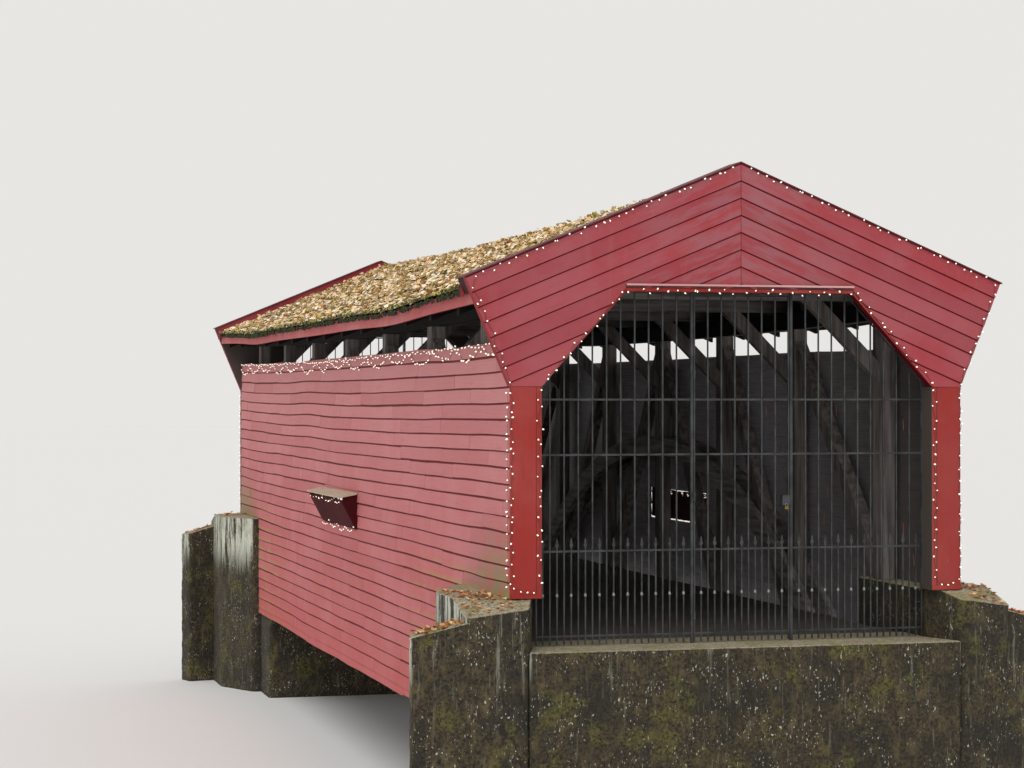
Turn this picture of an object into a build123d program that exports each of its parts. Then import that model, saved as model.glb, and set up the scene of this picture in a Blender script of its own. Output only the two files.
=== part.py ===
from build123d import *
import math
import os

# Covered timber bridge with boarded portals, iron gates and concrete abutments.
# Millimetres. X runs across the road, Y along it, Z up. The origin is at the
# middle of the bridge, on the level of the stream bed. Heights named *_z are
# measured from the top of the abutment pedestals, on which the portal posts
# stand, unless they say otherwise. The near end is at -Y.

# Overall
portal_length = 20700
outer_width = 5400
pedestal_height = 3200
road_z = -560

# Portals
portal_post_width = 361
portal_post_depth = 300
portal_post_face = 30
post_top_z = 2351
chamfer_run = 979
chamfer_rise = 1063
eave_flare = 510
parapet_rise = 149
gable_thickness = 120
portal_depth = 370
portal_board = 25
cap_thickness = 14
cap_overhang = 25
cap_side_overhang = 20
moulding_overhang = 5
moulding_gap = 45
moulding_step = 22.5

# Roof
roof_slope = 0.414
roof_thickness = 76
roof_overhang = 450
roof_sag = 105
shingle_courses = 4
course_board = 40
course_head_rise = 2
course_butt_rise = 30
ridge_cap_width = 150
ridge_cap_thickness = 22
rafters_each_side = 7
rafter_width = 90
rafter_depth = 210
rafter_notch = 49
rafter_tail_setback = 95
fascia_thickness = 30
fascia_drop = 120

# Trusses
end_bay = 1710
posts_each_side_of_middle = 3
post_width = 250
truss_thickness = 180
top_chord_z = 3215
top_chord_depth = 220
bottom_chord_depth = 350
bottom_chord_gap = 20
brace_depth = 180
brace_thickness = 150
brace_head_clearance = 120
arch_crown_z = 1485
arch_foot_inset = 556
arch_depth = 280
arch_rib_thickness = 95
tie_beam_depth = 160
tie_beam_width = 180
tie_beam_bearing = 100
knee_brace_drop = 860
knee_brace_depth = 170
knee_brace_width = 120

# Floor
floor_beam_depth = 220
floor_beam_width = 200
inner_floor_beams = 10
floor_beam_arch_gap = 163
end_beam_inset = 460
stringers = 5
stringer_depth = 170
stringer_width = 100
stringer_inset = 390
deck_thickness = 70
deck_gap = 15
deck_end = 900

# Siding
siding_thickness = 25
siding_hang = 220
siding_sag = 55
eave_gap = 345

# Shielded window in each side wall, a little off the middle
window_offset = -150
window_length = 2700
window_sill_z = 330
window_height = 480
hood_reach = 270
hood_fall = 55
hood_board = 25
hood_overhang = 30
shield_gap = 90
shield_toe = 25

# Abutments
pedestal_setback = 21
pedestal_reach = 570
pedestal_back = 2300
pedestal_back_outer = 1320
front_projection = 350
mouth_splay = 200
mouth_depth = 600
worn_edge_gap = 30
worn_corner_across = 400
worn_corner_back = 330
wing_reach = 1170
wing_thickness = 450
wing_flare_deg = 15
wing_top_inner_z = -90
wing_top_outer_z = -390
corner_radius = 110
seat_length = 1000
seat_gap = 15
bearing_block_height = 100
bearing_block_margin = 80

# Gates
gate_setback = 260
gate_post = 30
left_panel_width = 1827
gate_post_spacing = 1205
gate_bar = 16
gate_bar_spacing = 163
gate_rail_height = 22
gate_rail_thickness = 12
gate_rail_levels = (-452, 500, 1582, 2205)
gate_foot_clearance = 12
head_rail_rise = 48
picket_tip_z = 657
spear_length = 110
spear_half_width = 20
collar_z = 5
leaf_stile_width = 16
leaf_stile_thickness = 24
leaf_head_gap = 12
knuckle_radius = 14
knuckle_height = 45
pin_radius = 6
pin_length = 40
pin_clearance = 0.6
hinge_gap = 8
knuckle_gap = 5
knuckle_seat_gap = 0.9
hinge_levels = (-250, 1100, 2500)
lock_width = 90
lock_thickness = 60
lock_height = 120
lock_z = 1050

# Flat faces of different pieces that only rest on each other stay this far apart
seat_clearance = 0.3

os.makedirs("parts", exist_ok=True)

base = pedestal_height
half_length = portal_length / 2
half_width = outer_width / 2


def box(x, y, z):
    """A block between the low and high values of each axis."""
    size = [axis[1] - axis[0] for axis in (x, y, z)]
    middle = [(axis[0] + axis[1]) / 2 for axis in (x, y, z)]
    return Pos(*middle) * Box(*size)


def between(middle, width):
    """The low and high values of a piece of this width along one axis."""
    return (middle - width / 2, middle + width / 2)


def across(points, y0, y1):
    """An outline in X and Z, given as points, made solid from y0 to y1."""
    outline = Plane.XZ * make_face(Polyline(*points, close=True))
    return Pos(0, y1, 0) * extrude(outline, amount=y1 - y0)


def along(outline, x0, x1):
    """A face drawn in Y and Z, made solid from x0 to x1."""
    return Pos(x0, 0, 0) * extrude(Plane.YZ * outline, amount=x1 - x0)


def station(distance):
    """Y of a point that lies this far in from the near portal's front."""
    return distance - half_length


def to_far(shape):
    """The same piece at the far end, turned half round."""
    return shape.rotate(Axis.Z, 180)


def mirrored(shape):
    """The same piece on the other side of the road."""
    return mirror(shape, about=Plane.YZ)


def save(name, *solids):
    """Write one node. Its solids don't touch each other."""
    if len(solids) == 1:
        shape = solids[0]
    else:
        shape = Compound(children=list(solids))
    export_step(shape, f"parts/{name}.step")


def drop(y, sag):
    """How far a line that sags by this much in the middle hangs down at y."""
    return sag * (1 - (y / half_length) ** 2)


def lowest_drop(y, width):
    """The drop of the lowest point of a sagging line over a piece of this width."""
    return drop(max(0, abs(y) - width / 2), roof_sag)


def highest_drop(y, width):
    """The drop of the highest point of a sagging line over a piece of this width."""
    return drop(abs(y) + width / 2, roof_sag)


def sagging_edge(y_end, z, sag):
    """An arc between -y_end and y_end that starts at z and hangs down in the middle."""
    ends = z - drop(y_end, sag)
    return ThreePointArc((-y_end, ends), (0, z - sag), (y_end, ends))


def sagging_band(y_end, z_low, z_high, sag):
    """The face between two arcs that sag alike."""
    low = sagging_edge(y_end, z_low, sag)
    high = sagging_edge(y_end, z_high, sag)
    return make_face([low, high, Line(low @ 0, high @ 0), Line(low @ 1, high @ 1)])


# Places across the road, from the siding inwards and outwards
siding_inner = half_width - siding_thickness
truss_outer = siding_inner - arch_rib_thickness
truss_inner = truss_outer - truss_thickness
deck_half_width = truss_inner - arch_rib_thickness - deck_gap
opening_half_width = half_width - portal_post_width
opening_head_half_width = opening_half_width - chamfer_run
eave_half_width = half_width + eave_flare
roof_half_width = half_width + roof_overhang
rafter_tail = roof_half_width - rafter_tail_setback
pedestal_inner = opening_half_width + pedestal_setback
pedestal_outer = half_width + pedestal_reach
wing_outer = half_width + wing_reach

# Levels of the floor, from the road down to the seats of the trusses
road = base + road_z
deck_low = road - deck_thickness
beam_top = deck_low - stringer_depth
chord_top = beam_top - floor_beam_depth
chord_low = chord_top - bottom_chord_depth
seat = chord_low - bearing_block_height

# Levels of the walls and the roof, from the posts and the top chords up
post_top = base + post_top_z
opening_head = post_top + chamfer_rise
plate_low = base + top_chord_z
plate_top = plate_low + top_chord_depth
siding_top = plate_low - eave_gap
siding_bottom = seat - siding_hang
ridge_level = plate_top - rafter_notch + rafter_depth + roof_thickness + roof_slope * truss_outer
apex = ridge_level + parapet_rise
eave_tip = apex - roof_slope * eave_half_width

# Stations along the bridge
roof_half_length = half_length - portal_depth
chord_half_length = half_length - pedestal_back - bottom_chord_gap
floor_half_length = half_length - deck_end
bay = (half_length - end_bay) / posts_each_side_of_middle
post_stations = [n * bay for n in range(-posts_each_side_of_middle, posts_each_side_of_middle + 1)]
window_ends = (window_offset - window_length / 2, window_offset + window_length / 2)
window_levels = (base + window_sill_z, base + window_sill_z + window_height)


def roof_top(x):
    """Height of the roof boards' top at the portals, this far from the middle."""
    return ridge_level - roof_slope * x


def portal_top(x):
    """Height of the portal's top edge, parallel to the roof."""
    return apex - roof_slope * x


# Abutments: each is one casting, stepped down from the road to the seat of the
# trusses, between two wing walls that carry the portal posts.
def abutment():
    stream_face = station(pedestal_back + seat_length)
    front = station(-front_projection)
    inside, mouth = pedestal_inner, pedestal_inner + mouth_splay
    seat_reach = siding_inner - seat_gap
    corners = [(mouth, front), (inside, front + mouth_depth), (inside, station(deck_end))]
    plan = make_face(Polyline(*corners, *[(-x, y) for x, y in reversed(corners)], close=True))
    road_end = extrude(plan, amount=road)
    floor_seat = box((-inside, inside), (station(deck_end), station(pedestal_back)), (0, beam_top))
    truss_seat = box((-seat_reach, seat_reach), (station(pedestal_back), stream_face), (0, seat))
    return road_end + floor_seat + truss_seat


wing_lean = math.tan(math.radians(wing_flare_deg))


def wing_front(x):
    """Y of the front face, which leans back beyond the portal post."""
    return station(-front_projection) + wing_lean * max(0, x - half_width)


def wing_top(x):
    """Height of the wing's top, which falls outwards."""
    return base + wing_top_inner_z + (wing_top_outer_z - wing_top_inner_z) * (x - half_width) / wing_reach


def below(shape, *points):
    """The part of a shape that lies below the plane through three points."""
    first, second, third = [Vector(*point) for point in points]
    normal = (second - first).cross(third - first)
    if normal.Z < 0:
        normal = -normal
    return split(shape, bisect_by=Plane(origin=first, z_dir=normal), keep=Keep.BOTTOM)


def wing_wall():
    """Pedestal and wing on the +X side. The pedestal's front edge is worn down to the wing."""
    front = station(-front_projection)
    back, outer_back = station(pedestal_back), station(pedestal_back_outer)
    mouth = pedestal_inner + mouth_splay
    corners = [(mouth, front), (half_width, front), (pedestal_outer, wing_front(pedestal_outer)),
               (pedestal_outer, outer_back), (half_width + corner_radius, back), (pedestal_inner, back),
               (pedestal_inner, front + mouth_depth)]
    plan = make_face(Polyline(*corners, close=True))
    worn_corners = [vertex for vertex in plan.vertices()
                    if abs(vertex.X - mouth) < 1 or vertex.X > pedestal_outer - 1]
    pedestal = extrude(fillet(worn_corners, corner_radius), amount=base)
    root = (half_width, front, wing_top(half_width))
    level = (half_width, station(-worn_edge_gap), base)
    inner = (pedestal_inner, front, wing_top(half_width))
    outer = (half_width + worn_corner_across, station(worn_corner_back - worn_edge_gap), base)
    pedestal = below(below(pedestal, root, level, inner), root, level, outer)

    tip = wing_front(wing_outer)
    lean = math.radians(wing_flare_deg)
    end_back = (wing_outer - wing_thickness * math.sin(lean), tip + wing_thickness * math.cos(lean))
    plan = make_face(Polyline((half_width, front), (wing_outer, tip), end_back,
                              (half_width, front + wing_thickness / math.cos(lean)), close=True))
    plan = fillet(plan.vertices().filter_by(lambda v: v.X > half_width + 1), corner_radius)
    side = [(half_width, 0), (wing_outer, 0), (wing_outer, wing_top(wing_outer)),
            (half_width, wing_top(half_width))]
    wing = extrude(plan, amount=base) & across(side, front - 1, tip + wing_thickness + 1)
    return pedestal + wing


right_wing = wing_wall()
left_wing = mirrored(right_wing)
save("near_abutment", abutment())
save("far_abutment", to_far(abutment()))
save("near_right_wing_wall", right_wing)
save("near_left_wing_wall", left_wing)
save("far_left_wing_wall", to_far(right_wing))
save("far_right_wing_wall", to_far(left_wing))


# Trusses: chords, posts, braces that lean towards the middle, and a pair of
# arch ribs bolted to the two faces of each truss.
def both_sides(solids):
    """The given pieces of the right truss and the same of the left one."""
    return list(solids) + [mirrored(solid) for solid in solids]


chord = box((truss_inner, truss_outer), (-chord_half_length, chord_half_length), (chord_low, chord_top))
save("bottom_chords", *both_sides([chord]))

block_start = station(pedestal_back + bearing_block_margin)
block_end = station(pedestal_back + seat_length - bearing_block_margin)
block = box((truss_inner, truss_outer), (block_start, block_end), (seat, chord_low))
save("bearing_blocks", *both_sides([block, mirror(block, about=Plane.XZ)]))

plate_half_length = half_length - gable_thickness
plate = along(sagging_band(plate_half_length, plate_low, plate_top, roof_sag), truss_inner, truss_outer)
save("top_chords", *both_sides([plate]))


def post_foot(y):
    """The outermost posts stand on the pedestals, the others on the bottom chord."""
    return base if abs(y) > chord_half_length else chord_top


def post_head(y):
    return plate_low - lowest_drop(y, post_width) - seat_clearance


posts = [box((truss_inner, truss_outer), between(y, post_width), (post_foot(y), post_head(y)))
         for y in post_stations]
save("truss_posts", *both_sides(posts))


def brace(outer, inner):
    """Leans from the foot of the outer post to the head of the post nearer the middle."""
    towards = 1 if inner > outer else -1
    start = outer + towards * post_width / 2
    end = inner - towards * post_width / 2
    foot = post_foot(outer)
    head = plate_low - roof_sag - brace_head_clearance
    cut = brace_depth * math.hypot(end - start, head - foot) / abs(end - start)
    corners = [(start, foot), (end, head - cut), (end, head), (start, foot + cut)]
    outline = make_face(Polyline(*corners, close=True))
    margin = (truss_outer - truss_inner - brace_thickness) / 2
    return along(outline, truss_inner + margin, truss_outer - margin)


braces = []
for outer, inner in zip(post_stations, post_stations[1:]):
    pair = (outer, inner) if inner <= 0 else (inner, outer)
    braces.append(brace(*pair))
save("truss_braces", *both_sides(braces))


# The arch runs from foot to foot over a chord of this half length, with this rise
arch_half_span = half_length - pedestal_back - arch_foot_inset
arch_rise = base + arch_crown_z - seat
arch_radius = (arch_half_span ** 2 + arch_rise ** 2) / (2 * arch_rise)
arch_centre_z = base + arch_crown_z - arch_radius


def arch_reach(radius, level):
    """How far from the middle an arc of this radius passes a level."""
    return math.sqrt(radius ** 2 - (level - arch_centre_z) ** 2)


def arch_rib(x0, x1):
    """A ring segment whose feet are cut level where it stands on the abutments."""
    arcs = []
    for radius in (arch_radius - arch_depth / 2, arch_radius + arch_depth / 2):
        foot = arch_reach(radius, seat)
        arcs.append(ThreePointArc((-foot, seat), (0, arch_centre_z + radius), (foot, seat)))
    inner, outer = arcs
    outline = make_face([inner, outer, Line(inner @ 0, outer @ 0), Line(inner @ 1, outer @ 1)])
    return along(outline, x0, x1)


ribs = [arch_rib(truss_inner - arch_rib_thickness, truss_inner), arch_rib(truss_outer, siding_inner)]
save("right_arch_ribs", *ribs)
save("left_arch_ribs", *[mirrored(rib) for rib in ribs])

# Cross frames: a tie beam on the top chords and two knee braces at each post
ties = []
knees = []
tie_reach = truss_inner + tie_beam_bearing
for y in post_stations:
    level = plate_top - highest_drop(y, tie_beam_width) + seat_clearance
    ties.append(box((-tie_reach, tie_reach), between(y, tie_beam_width), (level, level + tie_beam_depth)))
    cut = knee_brace_depth * math.sqrt(2)
    foot = plate_top - drop(y, roof_sag) - knee_brace_drop
    rise = level - foot
    knee = across([(truss_inner, foot - cut / 2), (truss_inner, foot + cut / 2),
                   (truss_inner - rise + cut / 2, level), (truss_inner - rise - cut / 2, level)],
                  *between(y, knee_brace_width))
    knees.extend([knee, mirrored(knee)])
save("tie_beams", *ties)
save("knee_braces", *knees)

# Floor: one beam near each end on the seats of the trusses, the others spread
# between the places where the arches pass the floor
end_beam = half_length - pedestal_back - end_beam_inset
arch_crossing = arch_reach(arch_radius - arch_depth / 2, beam_top)
last_beam = arch_crossing - floor_beam_arch_gap - floor_beam_width / 2
beam_stations = [last_beam * (2 * n / (inner_floor_beams - 1) - 1) for n in range(inner_floor_beams)]
beams = [box((-truss_outer, truss_outer), between(y, floor_beam_width), (chord_top, beam_top))
         for y in [-end_beam, *beam_stations, end_beam]]
save("floor_beams", *beams)

last_stringer = deck_half_width - stringer_inset
stringer_places = [last_stringer * (2 * n / (stringers - 1) - 1) for n in range(stringers)]
floor_ends = (-floor_half_length, floor_half_length)
save("floor_stringers", *[box(between(x, stringer_width), floor_ends, (beam_top, deck_low))
                          for x in stringer_places])
save("floor_deck", box((-deck_half_width, deck_half_width), floor_ends, (deck_low, road)))


# Roof: rafters notched over the top chords, the boarded and shingled slopes,
# the ridge cap and the eave boards. All of it sags between the portals.
def rafter(y):
    """One rafter on the +X side, with a level notch where it sits on the top chord."""
    top = roof_top(0) - roof_thickness - lowest_drop(y, rafter_width) - seat_clearance
    low = top - rafter_depth
    notch = plate_top - highest_drop(y, rafter_width) + seat_clearance
    notch_start = (low - notch) / roof_slope
    tail = rafter_tail
    outline = [(seat_clearance, top), (tail, top - roof_slope * tail), (tail, low - roof_slope * tail),
               (truss_outer, low - roof_slope * truss_outer), (truss_outer, notch), (notch_start, notch),
               (seat_clearance, low)]
    return across(outline, *between(y, rafter_width))


rafter_stations = [(n + 0.5) * bay / 2 for n in range(-rafters_each_side, rafters_each_side)]
rafters = [rafter(y) for y in rafter_stations]
save("rafters", *both_sides(rafters))

def sloping(x0, x1, z_low, z_high, slope):
    """A sagging band at x0, between these heights at the portals, carried down a slope to x1."""
    section = Pos(x0, 0, 0) * (Plane.YZ * sagging_band(roof_half_length, z_low, z_high, roof_sag))
    return extrude(section, amount=math.hypot(1, slope) * (x1 - x0), dir=(1, 0, -slope))


def roof_side():
    """The boarded slope on the +X side. Each course of shingles lifts from it towards its butt."""
    boards = sloping(0, roof_half_width, ridge_level - roof_thickness, ridge_level, roof_slope)
    course = (roof_half_width - ridge_cap_width - seat_clearance) / shingle_courses
    slope = roof_slope - (course_butt_rise - course_head_rise) / course
    courses = []
    for n in range(shingle_courses):
        x1 = roof_half_width - n * course
        head = roof_top(x1 - course) + course_head_rise
        courses.append(sloping(x1 - course, x1, head - course_board, head, slope))
    return boards.fuse(*courses)


right_roof = roof_side()
save("right_roof", right_roof)
save("left_roof", mirrored(right_roof))

cap_low = ridge_level + seat_clearance
cap_side = sloping(0, ridge_cap_width, cap_low, cap_low + ridge_cap_thickness, roof_slope)
save("ridge_cap", cap_side + mirrored(cap_side))

fascia_outer = rafter_tail + fascia_thickness
fascia_high = roof_top(fascia_outer) - roof_thickness - seat_clearance
fascia = along(sagging_band(plate_half_length, fascia_high - fascia_drop, fascia_high, roof_sag),
               rafter_tail, fascia_outer)
save("eave_boards", *both_sides([fascia]))


# Siding: one boarded skin a side. It stops on the pedestals at both ends and
# hangs below the floor between them. Its top is low enough to leave a long
# gap under the eave.
def siding():
    end = half_length - portal_post_face
    gable_back = half_length - gable_thickness
    pedestal_end = half_length - pedestal_back
    low_arc = sagging_edge(pedestal_end, siding_bottom, siding_sag)
    high_arc = sagging_edge(gable_back, siding_top, siding_sag)
    edges = [low_arc, high_arc]
    for side, at in ((-1, 0), (1, 1)):
        steps = [(pedestal_end, base), (end, base), (end, post_top), (gable_back, post_top)]
        edges.append(Polyline(low_arc @ at, *[(side * y, z) for y, z in steps], high_arc @ at))
    (start, end_y), (low, high) = window_ends, window_levels
    opening = make_face(Polyline((start, low), (end_y, low), (end_y, high), (start, high), close=True))
    return along(make_face(edges) - opening, siding_inner, half_width)


right_siding = siding()
save("right_siding", right_siding)
save("left_siding", mirrored(right_siding))


# Window shields: a sloping board on top, a leaning front and two cheeks
def hood_underside(x):
    """Height of the sloping board's lower face."""
    return window_levels[1] - hood_fall * (x - half_width) / hood_reach


def window_hood():
    face, front = half_width, half_width + hood_reach
    outline = [(face, hood_underside(face)), (front, hood_underside(front)),
               (front, hood_underside(front) + hood_board), (face, hood_underside(face) + hood_board)]
    return across(outline, window_ends[0] - hood_overhang, window_ends[1] + hood_overhang)


def window_shield():
    sill, high = window_levels
    face = half_width
    lip = face + hood_reach - hood_overhang
    toe = (face, sill - siding_thickness)
    toe_edge = (face + shield_toe, sill - siding_thickness)
    lip_edge = (lip, high - shield_gap)
    front = [toe, toe_edge, lip_edge, (lip - hood_board, high - shield_gap), (face, sill)]
    shield = across(front, *window_ends)
    cheek = [toe, toe_edge, lip_edge, (lip, hood_underside(lip)), (face, high)]
    start, end = window_ends
    return shield + across(cheek, start, start + hood_board) + across(cheek, end - hood_board, end)


save("window_hoods", *both_sides([window_hood()]))
save("window_shields", *both_sides([window_shield()]))


# Portals
def portal_posts():
    """Boxed posts with a wider board on the front that covers the siding's end."""
    front = station(0)
    face = box((opening_half_width, half_width), (front, front + portal_post_face), (base, post_top))
    core = box((opening_half_width, siding_inner), (front + portal_post_face, front + portal_post_depth),
               (base, post_top))
    return both_sides([face + core])


gable_outline = [(half_width, post_top), (eave_half_width, eave_tip), (0, apex)]
opening_outline = [(opening_half_width, post_top), (opening_head_half_width, opening_head)]


def gable():
    """Boarded front: its sides lean in from the eave tips to the posts."""
    left = [(-x, z) for x, z in reversed(gable_outline[:-1])]
    head_left = [(-x, z) for x, z in opening_outline]
    head_right = opening_outline[::-1]
    return across(gable_outline + left + head_left + head_right, station(0), station(gable_thickness))


def hood():
    """Sides and back of the portal above the eave."""
    near, far = station(gable_thickness), station(portal_depth)
    lean = eave_flare / (eave_tip - post_top)
    inset = eave_half_width - portal_board
    low = eave_half_width - lean * (eave_tip - fascia_high)
    side = across([(low, fascia_high), (eave_half_width, eave_tip), (inset, portal_top(inset)),
                   (low - portal_board, fascia_high)], near, far)
    side_top = portal_top(inset)
    depth = parapet_rise + roof_thickness
    outline = [(0, apex), (inset, side_top), (inset, side_top - depth), (0, apex - depth),
               (-inset, side_top - depth), (-inset, side_top)]
    back = across(outline, far - portal_board, far)
    return side + mirrored(side) + back


def portal_cap():
    """Two boards along the top of the portal."""
    near, far = station(-cap_overhang), station(portal_depth + cap_overhang)
    reach = eave_half_width + cap_side_overhang
    low = apex + seat_clearance
    fall = roof_slope * reach
    top = [(0, low), (reach, low - fall), (reach, low - fall + cap_thickness), (0, low + cap_thickness)]
    side = across(top, near, far)
    return side + mirrored(side)


def moulding():
    """Drip ledge over the opening: a wide upper board on a narrower one."""
    reach = opening_head_half_width + moulding_overhang
    low = opening_head + moulding_gap
    front, step = station(0), moulding_step
    upper = box((-reach, reach), (front - 2 * step, front), (low + step, low + 2 * step))
    lower = box((-reach, reach), (front - step, front), (low, low + step))
    return upper + lower


portal_pieces = {"portal_posts": portal_posts(), "portal_gable": [gable()], "portal_hood": [hood()],
                 "portal_cap": [portal_cap()], "portal_moulding": [moulding()]}
for name, solids in portal_pieces.items():
    save(f"near_{name}", *solids)
    save(f"far_{name}", *[to_far(solid) for solid in solids])


# Gates: fixed panels beside a leaf that swings outwards on three hinges. Tall
# bars alternate with short pickets that end in spears.
gate_y = station(gate_setback)
foot = road + gate_foot_clearance
rail_levels = [base + level for level in gate_rail_levels]
post_half = gate_post / 2
hinge_post_x = -opening_half_width + left_panel_width + post_half
latch_post_x = hinge_post_x + gate_post_spacing
hinge_x = hinge_post_x + post_half + hinge_gap
hinge_y = gate_y - post_half - knuckle_gap - knuckle_radius


def head_at(x):
    """Height of the hidden head rail, which follows the opening a little above its edge."""
    beyond = max(0, abs(x) - opening_head_half_width)
    return opening_head + head_rail_rise - beyond * chamfer_rise / chamfer_run


def bar(x, z0, z1):
    return box(between(x, gate_bar), between(gate_y, gate_bar), (z0, z1))


# Half of the lily on a picket: shares of its half width and its length, from the foot up
lily_profile = [(0.4, -0.07), (1, 0.15), (1, 0.40), (0.4, 0.30), (0.6, 0.60)]


def picket(x):
    """A short bar that ends in a lily, a blade between two petals, with a small collar lower down."""
    tip = base + picket_tip_z
    shaft_top = tip - spear_length
    half = gate_bar / 2
    right = [(x + a * spear_half_width, shaft_top + b * spear_length) for a, b in lily_profile]
    left = [(2 * x - px, pz) for px, pz in reversed(right)]
    lily = across([*right, (x, tip), *left], gate_y - half, gate_y + half)
    low = base + collar_z
    collar = across([(x, low + spear_half_width), (x + spear_half_width, low), (x - spear_half_width, low)],
                    gate_y - half, gate_y + half)
    return bar(x, foot, shaft_top) + lily + collar


def bars_between(x0, x1, top):
    """Evenly spaced tall bars with pickets in the spaces between them."""
    count = max(1, round((x1 - x0) / gate_bar_spacing) - 1)
    step = (x1 - x0) / (count + 1)
    pieces = [bar(x0 + n * step, foot, top(x0 + n * step)) for n in range(1, count + 1)]
    pieces += [picket(x0 + (n + 0.5) * step) for n in range(count + 1)]
    return pieces


def rails_between(x0, x1):
    return [box((x0, x1), between(gate_y, gate_rail_thickness), between(z, gate_rail_height))
            for z in rail_levels]


def fixed_panel(x_wall, x_post):
    """Panel between a portal post and a gate post."""
    x0, x1 = min(x_wall, x_post), max(x_wall, x_post)
    inward = 1 if x_post > x_wall else -1
    stile_x = x_wall + inward * gate_bar / 2
    corner = math.copysign(opening_head_half_width, x_wall)
    pieces = bars_between(x0, x1, head_at) + rails_between(x0, x1)
    pieces.append(bar(stile_x, foot, head_at(stile_x)))
    head = [(x_wall, head_at(x_wall)), (corner, head_at(corner)), (x_post, head_at(x_post))]
    under = [(x, z - gate_rail_height) for x, z in reversed(head)]
    pieces.append(across(head + under, *between(gate_y, gate_rail_thickness)))
    return pieces[0].fuse(*pieces[1:])


def upright(radius, z0, z1):
    """A cylinder on the hinge line."""
    stands = (Align.CENTER, Align.CENTER, Align.MIN)
    return Pos(hinge_x, hinge_y, z0) * Cylinder(radius, z1 - z0, align=stands)


def gate_post_at(x):
    return box(between(x, gate_post), between(gate_y, gate_post), (road, head_at(x)))


def hinge_post():
    """The post with the lower half and the pin of each hinge."""
    post = gate_post_at(hinge_post_x)
    for level in hinge_levels:
        z = base + level
        plate = box(between(hinge_post_x, gate_post), (hinge_y, gate_y - post_half), (z - knuckle_height, z))
        post = post + plate + upright(knuckle_radius, z - knuckle_height, z)
        post = post + upright(pin_radius, z, z + pin_length)
    return post


def leaf():
    """The swinging leaf with the upper half of each hinge and its lock case."""
    x0 = hinge_x
    x1 = latch_post_x - post_half - hinge_gap
    top = opening_head - leaf_head_gap
    wide = leaf_stile_width
    stiles = [box((x, x + wide), between(gate_y, leaf_stile_thickness), (foot, top))
              for x in (x0, x1 - wide)]
    head = box((x0, x1), between(gate_y, gate_rail_thickness), (top - gate_rail_height, top))
    bars = bars_between(x0 + wide / 2, x1 - wide / 2, lambda x: top)
    lock = box((x1 - lock_width, x1), between(gate_y, lock_thickness), between(base + lock_z, lock_height))
    frame = stiles[0].fuse(stiles[1], *rails_between(x0, x1), head, *bars, lock)
    for level in hinge_levels:
        z = base + level + knuckle_seat_gap
        stile_face = gate_y - leaf_stile_thickness / 2
        strap = box((x0, x0 + wide), (hinge_y, stile_face), (z, z + knuckle_height))
        sleeve = strap + upright(knuckle_radius, z, z + knuckle_height)
        frame = frame + (sleeve - upright(pin_radius + pin_clearance, z, z + knuckle_height))
    return frame


wall_x = opening_half_width
gate_pieces = {"gate_left_panel": [fixed_panel(-wall_x, hinge_post_x - post_half)],
               "gate_right_panel": [fixed_panel(wall_x, latch_post_x + post_half)],
               "gate_posts": [hinge_post(), gate_post_at(latch_post_x)],
               "gate_leaf": [leaf()]}
for name, solids in gate_pieces.items():
    save(f"near_{name}", *solids)
    save(f"far_{name}", *[to_far(solid) for solid in solids])
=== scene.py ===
"""Looks of the boarded covered bridge.

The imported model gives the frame: X across the road, Y along it, Z up, metres,
with the near end at -Y. Boards, shingles, planks, castings, leaf litter and
small ironwork are numpy surfaces set against it. They are worked out for the
+X side of the near end. The -X side is such a surface mirrored, often with
random draws of its own, and the far end is the near one turned half round.
"""
import math

import bpy
import numpy as np
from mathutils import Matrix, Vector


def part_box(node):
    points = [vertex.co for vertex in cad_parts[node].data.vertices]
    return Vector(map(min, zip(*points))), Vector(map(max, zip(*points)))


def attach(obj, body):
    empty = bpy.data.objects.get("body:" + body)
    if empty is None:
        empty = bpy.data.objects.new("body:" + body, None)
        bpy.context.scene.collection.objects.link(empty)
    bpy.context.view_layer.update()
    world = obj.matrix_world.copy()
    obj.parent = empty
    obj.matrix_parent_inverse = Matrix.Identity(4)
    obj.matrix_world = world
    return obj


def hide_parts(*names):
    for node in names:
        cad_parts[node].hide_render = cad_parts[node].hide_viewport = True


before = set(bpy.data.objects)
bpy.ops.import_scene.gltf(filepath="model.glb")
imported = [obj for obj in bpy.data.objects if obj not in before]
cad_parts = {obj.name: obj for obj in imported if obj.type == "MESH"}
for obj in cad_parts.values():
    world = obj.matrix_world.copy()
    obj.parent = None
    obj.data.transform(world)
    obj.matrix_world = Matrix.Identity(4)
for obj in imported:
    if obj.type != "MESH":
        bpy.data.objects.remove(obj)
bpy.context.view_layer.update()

# Places read from the frame
gable_low, gable_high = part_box("near_portal_gable")
siding_low, siding_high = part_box("right_siding")
roof_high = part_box("right_roof")[1]
DECK_LOW, DECK_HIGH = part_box("floor_deck")
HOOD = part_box("window_hoods")
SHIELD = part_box("window_shields")
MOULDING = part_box("near_portal_moulding")
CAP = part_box("near_portal_cap")
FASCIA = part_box("eave_boards")[1]
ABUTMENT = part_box("near_abutment")
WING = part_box("near_right_wing_wall")
GATE_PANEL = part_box("near_gate_right_panel")
GATE_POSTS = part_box("near_gate_posts")
GATE_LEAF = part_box("near_gate_leaf")
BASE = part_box("near_portal_posts")[0].z
FRONT = gable_low.y
HALF_LENGTH = -FRONT
GABLE_BACK = gable_high.y
POST_TOP = gable_low.z
APEX = gable_high.z
EAVE_HALF = gable_high.x
WALL_IN = siding_low.x
WALL_OUT = siding_high.x
SIDING_LOW = siding_low.z
ROOF_HALF = roof_high.x
ROOF_END = roof_high.y
CAP_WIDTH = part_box("ridge_cap")[1].x
ROAD = DECK_HIGH.z

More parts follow.
